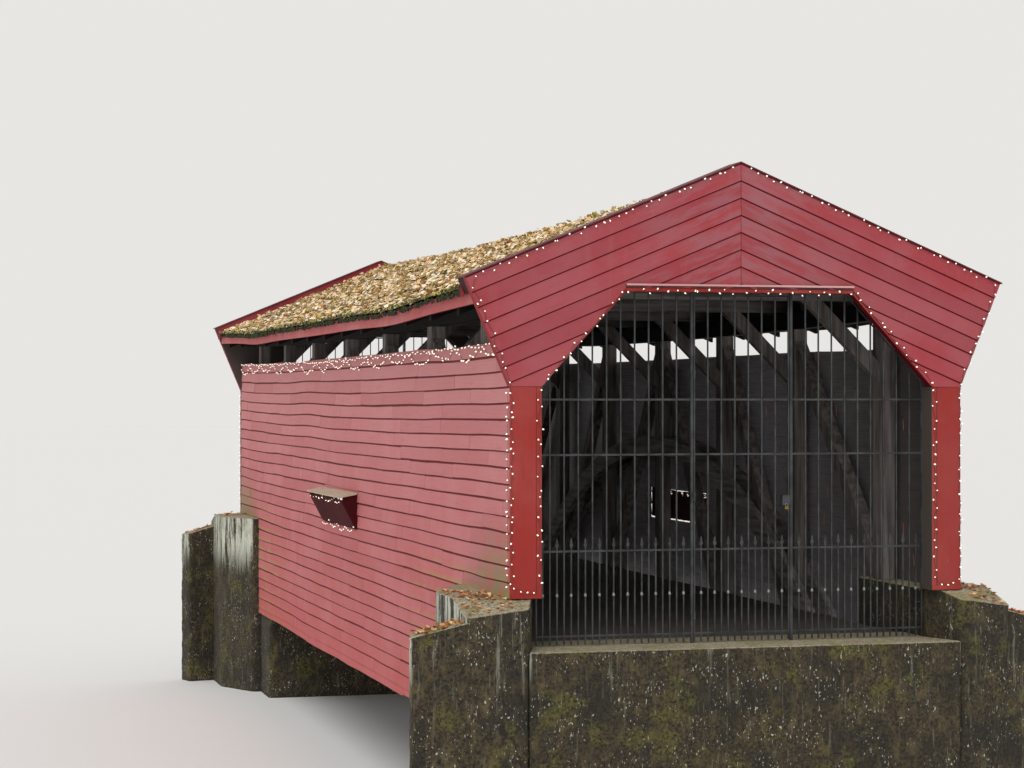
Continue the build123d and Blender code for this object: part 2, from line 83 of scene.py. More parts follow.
# Sizes that repeat the driving dimensions of the construction
OPENING_HALF = 2.339
HEAD_HALF = 1.36
HEAD = BASE + 3.414
SLOPE = 0.414
EAVE_TIP = APEX - SLOPE * EAVE_HALF
RIDGE_LINE = APEX - 0.149
ROOF_SAG = 0.105
SIDING_SAG = 0.055
WINDOW_Y = (-1.5, 1.2)
WINDOW_Z = (BASE + 0.33, BASE + 0.81)
PEDESTAL_BACK = 2.3

rng = np.random.default_rng(20)


def unit(vectors):
    """Vectors of the same direction and a length of one."""
    return vectors / np.linalg.norm(vectors, axis=-1, keepdims=True)


def xyz(x, y, z):
    """Points or vectors from their three parts, each an array or one number."""
    return np.stack(np.broadcast_arrays(x, y, z), axis=-1).astype(float)


def value_noise(points, cell, seed):
    """Smooth random value from -1 to 1: hashed values on a lattice of this cell, blended by eased shares."""
    grid = np.asarray(points, float) / cell
    whole = np.floor(grid).astype(np.int64)
    share = grid - whole
    share = share * share * (3 - 2 * share)
    total = np.zeros(grid.shape[:-1])
    for corner in range(8):
        step = np.array([corner & 1, corner >> 1 & 1, corner >> 2])
        key = (whole + step) @ np.array([73856093, 19349663, 83492791]) + seed * 2654435761
        key = (key ^ (key >> 13)) * 1274126177 & 0x7FFFFFFF
        value = ((key ^ (key >> 15)) & 0xFFFF) / 32767.5 - 1
        total += value * np.prod(np.where(step, share, 1 - share), axis=-1)
    return total


# Skins: points, faces by corner count, a map in metres and a tone for each point
def skin(points, faces, chart, tone):
    """The four arrays of a skin, with one tone spread over all its points where only one is given."""
    points = np.asarray(points, float).reshape(-1, 3)
    faces = [np.asarray(group, np.int64) for group in faces]
    tone = np.broadcast_to(np.asarray(tone, float), (len(points),))
    return points, faces, np.asarray(chart, float).reshape(-1, 2), tone


def joined(*skins):
    """Several skins as one, with the face corners counted on."""
    points, groups, charts, tones = zip(*skins)
    offsets = np.cumsum([0] + [len(part) for part in points])
    faces = [group + offset for part, offset in zip(groups, offsets) for group in part]
    return np.concatenate(points), faces, np.concatenate(charts), np.concatenate(tones)


def mirrored(part):
    """The same skin on the other side of the road, with its faces turned to point outwards again."""
    points, faces, chart, tone = part
    return points * (-1, 1, 1), [group[:, ::-1] for group in faces], chart, tone


def both_sides(part, other=None):
    """A skin on the +X side, and the same or another one mirrored to the -X side."""
    return joined(part, mirrored(part if other is None else other))


def as_made(part):
    """The skin where it was worked out, on the +X side of the near end."""
    return part


def far_end(part):
    """The same skin turned half round the upright axis."""
    points, faces, chart, tone = part
    return points * (-1, -1, 1), faces, chart, tone


ENDS = {"near": as_made, "far": far_end}
SIDES = {"right": as_made, "left": mirrored}


def make_piece(name, part, material, body="bridge", stands_for=(), smooth=False):
    """Puts a skin into a mesh object that rides on a body and stands for CAD nodes."""
    points, faces, chart, tone = part
    corners = np.concatenate([group.ravel() for group in faces])
    counts = np.concatenate([np.full(len(group), group.shape[1]) for group in faces])
    mesh = bpy.data.meshes.new(name)
    mesh.vertices.add(len(points))
    mesh.vertices.foreach_set("co", points.astype(np.float32).ravel())
    mesh.loops.add(len(corners))
    mesh.loops.foreach_set("vertex_index", corners.astype(np.int32))
    mesh.polygons.add(len(counts))
    mesh.polygons.foreach_set("loop_start", (np.cumsum(counts) - counts).astype(np.int32))
    mesh.polygons.foreach_set("use_smooth", np.full(len(counts), smooth))
    mesh.uv_layers.new(name="grain").data.foreach_set("uv", chart[corners].astype(np.float32).ravel())
    mesh.attributes.new("tone", "FLOAT", "POINT").data.foreach_set("value", tone.astype(np.float32))
    mesh.update(calc_edges=True)
    mesh.validate()
    mesh.materials.append(material)
    piece = bpy.data.objects.new(name, mesh)
    bpy.context.scene.collection.objects.link(piece)
    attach(piece, body)
    if stands_for:
        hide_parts(*stands_for)
    return piece


def swept(rings, chart=None, tone=0.5):
    """Closed bars from rings[bar, station, corner]: quads between stations, and the end rings as caps."""
    bars, stations, corners = rings.shape[:3]
    index = np.arange(bars * stations * corners).reshape(bars, stations, corners)
    ahead = np.roll(index, -1, axis=2)
    quads = np.stack([index[:, :-1], ahead[:, :-1], ahead[:, 1:], index[:, 1:]], axis=-1).reshape(-1, 4)
    caps = np.concatenate([index[:, 0, ::-1], index[:, -1]])
    if chart is None:
        along = np.linalg.norm(np.diff(rings.mean(2), axis=1), axis=-1).cumsum(axis=1)
        along = np.pad(along, ((0, 0), (1, 0)))[:, :, None] + np.zeros(corners)
        around = np.linalg.norm(rings - rings[:, :, :1], axis=-1)
        chart = np.stack([along, around], axis=-1)
    tones = np.broadcast_to(np.asarray(tone, float).reshape(-1, 1, 1), (bars, stations, corners))
    return skin(rings, [quads, caps], chart, tones.ravel())


def planks(start, run, across, out, stations=2, ease=0.0, bow=0.0, bend=None):
    """Boards as boxes: each has a corner, and three vectors for its length, width and thickness.

    The two corners of the section on the out side are eased by a flat chamfer.
    bow is how far a board wanders out of its plane along its length, as one
    slow sine of random phase. bend moves the finished points, such as by a sag.
    In the map u runs along the board from a random start, and v is the rise from
    the edge on which the board's corner lies.
    """
    vectors = [np.asarray(vector, float).reshape(-1, 3) for vector in (start, run, across, out)]
    start, run, across, out = np.broadcast_arrays(*vectors)
    count = len(start)
    left_handed = np.einsum("ij,ij->i", run, np.cross(across, out))[:, None] < 0
    start = np.where(left_handed, start + across, start)
    across = np.where(left_handed, -across, across)
    length, width, thick = [np.linalg.norm(vector, axis=1)[:, None] for vector in (run, across, out)]
    none, full = np.zeros((count, 1)), np.ones((count, 1))
    if ease:
        across_at = np.hstack([none, full, full, full - ease / width, ease / width, none])
        out_at = np.hstack([none, none, full - ease / thick, full, full, full - ease / thick])
    else:
        across_at = np.hstack([none, full, full, none])
        out_at = np.hstack([none, none, full, full])
    along = np.linspace(0, 1, stations)[None]
    half_waves = 1.6
    phase = rng.uniform(0, 6.3, (count, 1))
    wander = bow * np.sin(along * math.pi * half_waves + phase) / thick
    rings = (start[:, None, None] + along[..., None, None] * run[:, None, None]
             + across_at[:, None, :, None] * across[:, None, None]
             + (out_at[:, None] + wander[..., None])[..., None] * out[:, None, None])
    if bend is not None:
        rings = bend(rings)
    u = along[..., None] * length[:, :, None] + rng.uniform(0, 50, (count, 1, 1)) + 0 * across_at[:, None]
    v = (across_at * width)[:, None] + 0 * u
    return swept(rings, np.stack([u, v], axis=-1), rng.uniform(0, 1, count))


# Materials
def linear(hex_colour):
    """An sRGB hex colour as the linear colour that a shader takes."""
    parts = [int(hex_colour[i:i + 2], 16) / 255 for i in (1, 3, 5)]
    return [p / 12.92 if p <= 0.04045 else ((p + 0.055) / 1.055) ** 2.4 for p in parts] + [1.0]


def add(tree, kind, inputs=None, stops=None, **settings):
    """Adds a node, sets its settings and colour stops, and gives its inputs values or links."""
    node = tree.nodes.new("ShaderNode" + kind)
    for key, value in settings.items():
        setattr(node, key, value)
    if stops:
        ramp = node.color_ramp.elements
        while len(ramp) < len(stops):
            ramp.new(0.5)
        for element, (place, colour) in zip(ramp, stops):
            element.position = place
            element.color = linear(colour)
    for key, value in (inputs or {}).items():
        socket = node.inputs[key]
        if isinstance(value, bpy.types.Node):
            value = value.outputs[0]
        if isinstance(value, bpy.types.NodeSocket):
            tree.links.new(value, socket)
        elif isinstance(value, str):
            socket.default_value = linear(value)
        else:
            socket.default_value = value
    return node


class Coat:
    """A material in the making: its nodes, and the colour laid up so far."""

    def __init__(self, name):
        self.material = bpy.data.materials.new(name)
        self.material.use_nodes = True
        self.tree = self.material.node_tree
        self.tree.nodes.clear()
        self.sources = add(self.tree, "TexCoord").outputs
        self.colour = None

    def stretched(self, scale, place=(0, 0, 0), source="Object"):
        """A coordinate stretched by a scale, for patterns that run further one way than another."""
        return add(self.tree, "Mapping", {"Vector": self.sources[source], "Scale": scale, "Location": place})

    def noise(self, scale, detail=3.0, roughness=0.55, stretch=(1, 1, 1), place=(0, 0, 0), source="Object"):
        """Fractal noise of a scale, over a coordinate that can be stretched and moved."""
        vector = self.stretched(stretch, place, source)
        inputs = {"Vector": vector, "Scale": scale, "Detail": detail, "Roughness": roughness}
        return add(self.tree, "TexNoise", inputs)

    def part(self, source, axis):
        """One part of the place in the object, of the map or of the direction that the surface faces."""
        return add(self.tree, "SeparateXYZ", {"Vector": self.sources[source]}).outputs[axis]

    def tone(self):
        """The tone that each board, shingle or leaf was given."""
        return add(self.tree, "Attribute", attribute_name="tone").outputs["Fac"]

    def math(self, operation, *values):
        """One sum on these values, which are numbers or other nodes."""
        return add(self.tree, "Math", dict(enumerate(values)), operation=operation)

    def product(self, *values):
        """The values multiplied together."""
        result = values[0]
        for value in values[1:]:
            result = self.math("MULTIPLY", result, value)
        return result

    def window(self, value, low, high):
        """A value brought from low..high to 0..1, held at both ends."""
        inputs = {"Value": value, "From Min": low, "From Max": high}
        return add(self.tree, "MapRange", inputs, interpolation_type="SMOOTHSTEP")

    def blend(self, share, first, second):
        """Two colours mixed by a share."""
        return add(self.tree, "Mix", {"Factor": share, 6: first, 7: second}, data_type="RGBA").outputs[2]

    def lay(self, colour, *shares):
        """Lays one more colour over those so far, by the product of the shares."""
        self.colour = self.blend(self.product(*shares), self.colour, colour)

    def finish(self, roughness, height=None, bump=0.004, **sockets):
        """The principled surface that each material ends in, with a bump of real depth in metres."""
        inputs = {"Base Color": self.colour, "Roughness": roughness, **sockets}
        if height is not None:
            inputs["Normal"] = add(self.tree, "Bump", {"Height": height, "Distance": bump, "Strength": 1.0})
        add(self.tree, "OutputMaterial", {"Surface": add(self.tree, "BsdfPrincipled", inputs)})
        return self.material


def painted_boards(name, fresh, faded, dark, course=0.0, algae=0.0, chalk=0.3, bare=None, ends=None,
                   paler_above=None, dust=0.0, gloss=0.12):
    """Oil paint on sawn pine, rolled on by hand and years old: chalky, with the grain just showing.

    Each board's tone shifts its colour a little, and rain leaves faint upright
    streaks. course is the exposed height of lapped boards: the top of each lies
    under the board above, where a dark band of about 16 mm is painted shade and
    dirt. algae tints the boards near the ground at both ends of the wall. bare is
    the colour of the faces turned inwards, which were never painted, as it shows
    deep inside; towards the portals these faces turn dark grey, a change along
    the bridge that is painted light and shade. With bare given, faces that look
    down are painted dark maroon as shade. ends is the colour of the faces that
    look along X, painted dark as shade. bleached is the paler colour that the
    wall blends to towards its top, and dust the share of grey that sticks to the
    boards round the middle. gloss is how much the paint still reflects.
    """
    coat = Coat(name)
    grain = coat.noise(1.0, 5, 0.65, (1.2, 46, 1), source="UV")
    smears = coat.noise(1.0, 4, 0.6, (2.2, 9, 1), source="UV")
    patches = coat.noise(0.9, 4)
    streaks = coat.noise(1.0, 4, 0.6, (7, 7, 0.55))
    rise = coat.part("UV", "Y")
    height = coat.part("Object", "Z")
    from_road = coat.math("ABSOLUTE", coat.part("Object", "X"))
    from_middle = coat.math("ABSOLUTE", coat.part("Object", "Y"))
    coat.colour = coat.blend(coat.window(patches, 0.38, 0.66), fresh, faded)
    # The wall turns paler towards its top.
    if paler_above:
        coat.lay(paler_above, coat.window(height, BASE - 0.6, BASE + 3.0), 0.62)
    coat.lay(dark, coat.window(coat.tone(), 0.35, 1.0), 0.28)
    coat.lay(faded, coat.window(streaks, 0.54, 0.80), chalk)
    coat.lay(dark, coat.window(smears, 0.55, 0.75), 0.22)
    coat.lay(dark, coat.window(grain, 0.56, 0.80), 0.26)
    if dust:
        coat.lay("#99757c", coat.window(from_road, 2.0, 0.2), coat.window(smears, 0.38, 0.62), dust)
    if algae:
        damp = coat.noise(2.6, 5, 0.6)
        film = coat.blend(coat.window(patches, 0.40, 0.60), "#8f8a62", "#87827a")
        coat.lay(film, coat.window(from_middle, HALF_LENGTH - 2.6, HALF_LENGTH - 0.5),
                 coat.window(height, BASE + 1.0, BASE - 0.1), coat.window(damp, 0.32, 0.52), algae)
        coat.lay("#a0984f", coat.window(rise, 0.085, 0.005), coat.window(from_middle, 3.5, 8.5),
                 coat.window(height, BASE + 0.5, BASE - 0.2), coat.window(damp, 0.38, 0.58), 0.85)
        coat.lay("#b85350", coat.window(height, BASE - 0.9, BASE - 1.65), 0.40)
    chips = add(coat.tree, "TexVoronoi", {"Vector": coat.stretched((3.0, 14, 1), source="UV"), "Scale": 1.0})
    chipped = coat.window(chips.outputs["Distance"], 0.10, 0.04)
    coat.lay("#8d7566", chipped, coat.window(patches, 0.54, 0.64), 0.6)
    # A dark band at the top of each course: painted shade under the board above, with some dirt.
    if course:
        edge = coat.math("ADD", coat.product(smears, 0.008), rise)
        coat.lay("#66121a", coat.window(edge, course - 0.019, course - 0.014), 0.97)
    if bare:
        inward = [coat.product(coat.part("Normal", axis), coat.part("Object", axis)) for axis in "XY"]
        inside = coat.math("MAXIMUM", coat.window(inward[0], -0.4, -1.2), coat.window(inward[1], -1.5, -4.0))
        # Inner faces go from dark grey at the portals to the bare colour deep inside: painted light and shade
        # along the bridge.
        inner = coat.blend(coat.window(from_middle, HALF_LENGTH, 3.0), "#524a46", bare)
        inner = coat.blend(coat.product(coat.window(grain, 0.60, 0.35), 0.35), inner, "#4a423d")
        coat.lay(inner, inside)
        # Faces that look down are painted dark maroon as shade.
        coat.lay("#5c0f16", coat.window(coat.part("Normal", "Z"), -0.3, -0.6))
    # Faces that look along X take the ends colour, painted dark as shade.
    if ends:
        sideways = coat.math("ABSOLUTE", coat.part("Normal", "X"))
        coat.lay(ends, coat.window(sideways, 0.6, 0.8))
    worn = coat.window(grain, 0.2, 0.9)
    roughness = add(coat.tree, "MapRange", {"Value": worn, "To Min": 0.58, "To Max": 0.82})
    relief = coat.math("ADD", grain, coat.product(streaks, 0.3))
    return coat.finish(roughness, relief, 0.003, **{"Specular IOR Level": gloss})


def sawn_timber(name, light, dark, axis, eaves=None):
    """Old rough-sawn timber, never painted: dry, in darker patches, with the grain along one axis.

    eaves is the colour painted over the roof's timber above the walls, as the shade there under the roof.
    """
    coat = Coat(name)
    stretch = [16.0, 16.0, 16.0]
    stretch["xyz".index(axis)] = 0.9
    grain = coat.noise(1.0, 6, 0.62, stretch)
    patches = coat.noise(1.3, 4)
    coat.colour = coat.blend(coat.window(grain, 0.32, 0.70), dark, light)
    coat.lay(dark, coat.window(patches, 0.45, 0.7), 0.5)
    if eaves:
        # The roof's timber over the walls is painted near black there, as shade.
        coat.lay(eaves, coat.window(coat.math("ABSOLUTE", coat.part("Object", "X")), 1.7, 2.4))
    return coat.finish(0.86, grain, 0.006, **{"Specular IOR Level": 0.12})


def grained_boards(name, light, dark, weather, depth=0.004):
    """Sawn boards left bare: each has its own tone, and the grain follows its length."""
    coat = Coat(name)
    grain = coat.noise(1.0, 6, 0.66, (1.6, 60, 1), source="UV")
    knots = coat.noise(1.0, 3, stretch=(3.0, 9, 1), source="UV")
    coat.colour = coat.blend(coat.window(grain, 0.30, 0.72), dark, light)
    coat.lay(weather, coat.tone(), 0.55)
    coat.lay(dark, coat.window(knots, 0.62, 0.74), 0.6)
    return coat.finish(0.85, grain, depth)


def weathered_concrete():
    """Old cast concrete with its skin gone.

    It is a dark gritty matrix with ragged pale flecks of lichen and stone, tan
    tops, lime and black runs down the outer sides, and moss where it stays damp.
    """
    coat = Coat("weathered_concrete")
    height = coat.part("Object", "Z")
    patches = coat.noise(1.7, 6, 0.6)
    grit = coat.noise(26.0, 6, 0.78)
    damp = coat.noise(2.3, 6, 0.65)
    crowd = coat.noise(3.2, 3)
    mottle = coat.noise(1.0, 6, 0.7, (9, 9, 5))
    fleck = coat.noise(1.0, 2, 0.5, (46, 46, 24))
    runs = coat.noise(1.0, 5, 0.7, (20, 20, 1.6), (3, 5, 1))
    streaks = coat.noise(1.0, 6, 0.72, (9, 9, 0.6))
    black_runs = coat.noise(1.0, 5, 0.7, (24, 24, 1.1), (7, 2, 4))
    coat.colour = coat.blend(coat.window(grit, 0.38, 0.62), "#16130e", "#4a402d")
    coat.lay("#64563a", coat.window(mottle, 0.48, 0.70), 0.75)
    coat.lay("#1d1b18", coat.window(patches, 0.55, 0.38), 0.60)
    coat.lay("#7b7560", coat.window(runs, 0.57, 0.68), 0.45)
    flecks = coat.product(coat.window(fleck, 0.635, 0.68), coat.window(crowd, 0.45, 0.60))
    coat.lay(coat.blend(mottle, "#a7a28d", "#e6e3d2"), flecks, 0.95)
    side = coat.math("SIGN", coat.part("Object", "X"))
    outer = coat.window(coat.product(coat.part("Normal", "X"), side), 0.55, 0.85)
    ragged = coat.math("ADD", height, coat.product(black_runs, 1.1))
    high = coat.window(ragged, BASE - 0.55, BASE + 0.10)
    coat.lay("#cfd1c0", coat.window(streaks, 0.43, 0.51), outer, high, 0.92)
    coat.lay("#2a2c26", coat.window(black_runs, 0.55, 0.60), outer, high, 0.85)
    coat.lay("#b5b3a2", coat.window(streaks, 0.60, 0.68), coat.window(height, BASE - 1.6, BASE - 0.5), 0.35)
    moss_colour = coat.blend(grit, "#3d3e1a", "#77702f")
    coat.lay(moss_colour, coat.window(damp, 0.52, 0.66), coat.window(grit, 0.40, 0.56), 0.75)
    top_colour = coat.blend(coat.window(grit, 0.36, 0.62), "#7a6f54", "#c2b69a")
    top_colour = coat.blend(coat.product(coat.window(damp, 0.50, 0.62), 0.6), top_colour, "#87834e")
    coat.lay(top_colour, coat.window(coat.part("Normal", "Z"), 0.35, 0.80), 0.92)
    return coat.finish(0.92, coat.math("ADD", grit, coat.product(flecks, 0.4)), 0.014)


def forged_iron():
    """Wrought iron under worn black paint: dull grey, with rust specks of a few millimetres."""
    coat = Coat("forged_iron")
    patches = coat.noise(6.0, 5, 0.6)
    pits = coat.noise(90.0, 4, 0.7)
    coat.colour = coat.blend(coat.window(patches, 0.35, 0.66), "#27292b", "#434546")
    coat.lay("#4d3628", coat.window(pits, 0.60, 0.72), coat.window(patches, 0.45, 0.60), 0.5)
    return coat.finish(0.55, pits, 0.0012, Metallic=0.2)


def dead_leaves(name, stops):
    """Leaves or moss, matt: the tone of each one picks its colour from the stops."""
    coat = Coat(name)
    coat.colour = add(coat.tree, "ValToRGB", {"Fac": coat.tone()}, stops=stops).outputs["Color"]
    mottle = coat.noise(55.0, 3)
    coat.lay("#6d4f31", coat.window(mottle, 0.50, 0.75), 0.22)
    return coat.finish(0.74, mottle, 0.002)


def plain_finish(name, first, second, scale, roughness, depth, **sockets):
    """A finish of two close colours in patches, with a fine bump of the same grain."""
    coat = Coat(name)
    coat.colour = coat.blend(coat.window(coat.noise(scale, 5, 0.6), 0.35, 0.65), first, second)
    return coat.finish(roughness, coat.noise(scale * 12, 3), depth, **sockets)


COURSE = 0.1808
CHEVRON = 0.195
siding_paint = painted_boards("faded_barn_paint", "#bd6868", "#c27475", "#a85759", course=COURSE, algae=0.95,
                              chalk=0.2, bare="#cfcbce", paler_above="#cd9092")
trim_paint = painted_boards("faded_trim_paint", "#b85e5d", "#c07271", "#94494b", chalk=0.2, bare="#463c37")
# The moulding strip's pale paint is a painted highlight along the top of the moulding.
moulding_highlight_paint = painted_boards("moulding_painted_highlight", "#cf9a97", "#d9adaa", "#b0706e", chalk=0.2)
portal_paint = painted_boards("red_barn_paint", "#a4444a", "#a6575c", "#86363c", course=CHEVRON, chalk=0.5,
                              bare="#6a5a50", dust=0.4)
post_paint = painted_boards("red_post_paint", "#9c3531", "#a34642", "#822a26", bare="#6a5a4c")
# The parapet's faces that look along X take a dark colour as painted shade.
hood_paint = painted_boards("red_parapet_paint", "#8f343a", "#9a454b", "#6d2b30", ends="#3a161c")
shield_paint = painted_boards("dark_red_paint", "#49151b", "#531c22", "#1c090c", chalk=0.2, gloss=0.04)
SHADED_WOOD = ("#8f8987", "#4f4a48")
# Near black painted over the roof's timber above the walls, as shade.
EAVE_SHADE = "#1a1614"
roof_timber = {axis: sawn_timber("shaded_oak_" + axis, *SHADED_WOOD, axis, EAVE_SHADE) for axis in "xyz"}
timber = {axis: sawn_timber("sawn_oak_" + axis, "#968d88", "#5a5350", axis) for axis in "xyz"}
# The arch ribs take a paler copy of the oak, as painted light.
lit_arch_timber = sawn_timber("arch_oak_painted_light", "#b3acaa", "#6f6863", "y")
roof_boards = sawn_timber("rough_pine_sheathing", *SHADED_WOOD, "y", EAVE_SHADE)
bare_board = grained_boards("weathered_pine", "#d6bda2", "#a08b76", "#bdb09a")
floor_boards = grained_boards("worn_oak_planks", "#625951", "#37312c", "#4f4842")
shingle = grained_boards("split_cedar_shingles", "#94805a", "#453a28", "#6f6640", depth=0.006)
concrete = weathered_concrete()
iron = forged_iron()
# Bleached leaves from straw through cream to rust, and a few still green
litter = dead_leaves("dry_leaf_litter", [
    (0.0, "#6c6438"), (0.08, "#b3955c"), (0.26, "#e6c79a"), (0.50, "#fff3de"),
    (0.72, "#f6dcae"), (0.87, "#dc9c48"), (0.94, "#c3b056"), (1.0, "#8b8e42")])
# Newly fallen leaves, rust to straw
loose_leaves = dead_leaves("fallen_leaves", [
    (0.0, "#8a3c1f"), (0.35, "#b96b33"), (0.7, "#dba871"), (1.0, "#e6cf9c")])
# Moss, yellow green where it grows in the light, and nearly black where it hangs, as painted shade
moss = dead_leaves("damp_moss", [
    (0.0, "#15180a"), (0.35, "#2f3712"), (0.62, "#5c6320"), (0.84, "#a5a53c"), (1.0, "#dccf74")])
# Dark maroon of the portal caps; on the mouldings, below the pale strip, it is a painted shadow line.
cap_paint_and_painted_shadow = plain_finish("dark_maroon_cap_paint_and_painted_shadow", "#4a1a21", "#6a2b32", 5.0, 0.6, 0.002)
# Frosted glass of small lamps that are lit
bulb_glass = plain_finish("frosted_bulb_glass", "#f4efe2", "#fffaf0", 30.0, 0.25, 0.0002,
                          **{"Emission Color": "#fff4dc", "Emission Strength": 0.8})
wire_skin = plain_finish("green_cable_sheath", "#1d241d", "#2b332a", 20.0, 0.5, 0.0003)
grey_zinc = plain_finish("dull_zinc", "#7c807f", "#989b9a", 40.0, 0.5, 0.0004, Metallic=0.3)
brass = plain_finish("dull_brass", "#6e5a2e", "#8f7a45", 60.0, 0.42, 0.0003, Metallic=0.8)


# Sags and dips of the old frame
def drop(y, sag=ROOF_SAG):
    """How far a line that sags as a parabola hangs down at y."""
    return sag * (1 - (y / HALF_LENGTH) ** 2)


DIP_DEPTH = 0.040
DIP_PLACE = 4.6
DIP_REACH = 1.7


def eave_dip(y):
    """A further dip of the roof: a bell curve over its distance from a place some way in from each portal."""
    inward = HALF_LENGTH - np.abs(y)
    return DIP_DEPTH * np.exp(-((inward - DIP_PLACE) / DIP_REACH) ** 2)


def sag_bend(rings):
    """The boards on the rafters hang in the parabola alone."""
    rings = rings.copy()
    rings[..., 2] -= drop(rings[..., 1])
    return rings


def roof_bend(rings):
    """The roof hangs in a parabola between the portals, and dips more and more towards its eaves."""
    rings = rings.copy()
    rings[..., 2] -= drop(rings[..., 1]) + eave_dip(rings[..., 1]) * np.abs(rings[..., 0]) / ROOF_HALF
    return rings


# Side walls of lapped boards
FIRST_LINE = BASE + 2.715
SIDING_TOP = BASE + 2.870
LAP = 0.020
BOARD_THICK = 0.0125
BUTT_GAP = 0.012
SHORTEST_BOARD = 0.12
RAGGED_FOOT = 0.035


def wall_bend(rings):
    """Boards sag between the portals and wander up and down by a few centimetres along the wall."""
    x, y, z = rings[..., 0], rings[..., 1], rings[..., 2]
    upper = np.clip((z - SIDING_LOW) / (SIDING_TOP - SIDING_LOW), 0, 1)
    place = xyz(y / 2.6, z / 0.55, 0)
    end = np.clip((HALF_LENGTH - np.abs(y)) / 1.2, 0, 1)
    wave = (0.020 * value_noise(place, 1.0, 5) + 0.006 * value_noise(place * 3.1, 1.0, 6)) * end
    rings = rings.copy()
    rings[..., 2] = z - drop(y, SIDING_SAG) * (0.35 + 0.65 * upper) + wave
    rings[..., 0] = x + 0.004 * value_noise(place * 1.7, 1.0, 9) * end
    return rings


def cut_up(y0, y1, z0, z1):
    """The stretches of a course that the window leaves, each with its own lower and upper edge."""
    if y1 <= WINDOW_Y[0] or y0 >= WINDOW_Y[1] or z1 <= WINDOW_Z[0] or z0 >= WINDOW_Z[1]:
        return [(y0, y1, z0, z1)]
    inner = (max(y0, WINDOW_Y[0]), min(y1, WINDOW_Y[1]))
    pieces = [(y0, WINDOW_Y[0], z0, z1), (WINDOW_Y[1], y1, z0, z1), (*inner, WINDOW_Z[1], z1),
              (*inner, z0, WINDOW_Z[0])]
    return [piece for piece in pieces if piece[0] < piece[1] and piece[2] < piece[3]]


def wall_boards():
    """Every course is filled with boards 2 to 4.4 m long, which have shrunk apart at their ends.

    Each board leans in by its own thickness, so its lower edge stands on the
    board below.
    """
    lower_edges = [FIRST_LINE]
    while lower_edges[-1] - COURSE > SIDING_LOW:
        lower_edges.append(lower_edges[-1] - COURSE)
    lower_edges.append(SIDING_LOW)
    upper_edges = [SIDING_TOP] + [edge + LAP for edge in lower_edges[:-1]]
    spans = []
    for lower, upper in zip(lower_edges, upper_edges):
        end = HALF_LENGTH - 0.03
        if lower > POST_TOP - LAP:
            end = -GABLE_BACK
        if lower < BASE - LAP:
            end = HALF_LENGTH - PEDESTAL_BACK
        y = -end - rng.uniform(0.3, 3.2)
        while y < end:
            length = rng.uniform(2.0, 4.4)
            y0, y1 = max(y, -end), min(y + length, end)
            if y1 - y0 > SHORTEST_BOARD:
                spans += cut_up(y0, y1 - BUTT_GAP, lower, upper)
            y += length
    y0, y1, z0, z1 = np.array(spans).T
    count = len(y0)
    tilt = rng.uniform(-0.004, 0.004, count)
    tilt += np.where(z0 < SIDING_LOW + 0.001, rng.uniform(0.0, RAGGED_FOOT, count), 0)
    start = xyz(WALL_IN + BOARD_THICK, y0, z0 + tilt)
    run = xyz(0, y1 - y0, rng.uniform(-0.004, 0.004, count))
    across = xyz(-BOARD_THICK, 0, z1 - z0)
    return planks(start, run, across, (BOARD_THICK, 0, 0), stations=14, ease=0.002, bow=0.0012,
                  bend=wall_bend)


for side, place in SIDES.items():
    make_piece(side + "_wall_boards", place(wall_boards()), siding_paint,
               stands_for=[side + "_siding"])


# Portal fronts
PORTAL_LAP = 0.012
PORTAL_BOARD = 0.012
PORTAL_COURSES = 13
PORTAL_OVERLAP = 0.004
THINNEST_BOARD = 0.0008
MITRE_GAP = 0.006
HEAD_STRIP = 0.045


def region_low(x):
    """Lower edge of the boarded front at x: header, slanted side of the opening, post and leaning edge."""
    return np.interp(x, [0, HEAD_HALF, OPENING_HALF, WALL_OUT, EAVE_HALF],
                     [HEAD + HEAD_STRIP, HEAD + HEAD_STRIP, POST_TOP, POST_TOP, EAVE_TIP])


def chevron_boards():
    """Boards parallel to the roof, mitred at the middle and cut to the front's leaning edge and opening.

    Each is the space between two sloping lines, kept inside the front's outline.
    The outline's height is a function of x, so a board is worked out at the few
    values of x where a line meets the outline, and is straight between them.
    """
    x_all = np.linspace(MITRE_GAP / 2, EAVE_HALF, 4001)
    skins = []
    for n in range(PORTAL_COURSES):
        top = APEX - n * CHEVRON - 0.0005
        low = np.maximum(top - CHEVRON - PORTAL_OVERLAP - SLOPE * x_all, region_low(x_all))
        high = top - SLOPE * x_all
        inside = np.flatnonzero(high - low > THINNEST_BOARD)
        if len(inside) == 0:
            continue
        for group in np.split(inside, np.flatnonzero(np.diff(inside) > 1) + 1):
            slope_change = np.abs(np.diff(low[group], 2)) > 1e-6
            keep = np.unique(np.concatenate([[0], np.flatnonzero(slope_change) + 1, [len(group) - 1]]))
            x, z0, z1 = x_all[group[keep]], low[group[keep]], high[group[keep]]
            rise = z0 - (top - CHEVRON - SLOPE * x)
            lean = PORTAL_BOARD + PORTAL_LAP * (1 - rise / CHEVRON)
            section = ((FRONT, z0), (FRONT, z1), (FRONT - PORTAL_BOARD, z1), (FRONT - lean, z0))
            ring = np.stack([xyz(x, y, z) for y, z in section], axis=1)
            along = np.hypot(x, SLOPE * x)[:, None] + rng.uniform(0, 50) + np.zeros(4)
            height = np.stack([z0, z1, z1, z0], axis=1) + SLOPE * x[:, None] - (top - CHEVRON)
            chart = np.stack([along, height], axis=-1)[None]
            skins.append(swept(ring[None, :, ::-1], chart[:, :, ::-1], rng.uniform(0, 1)))
    return joined(*skins)


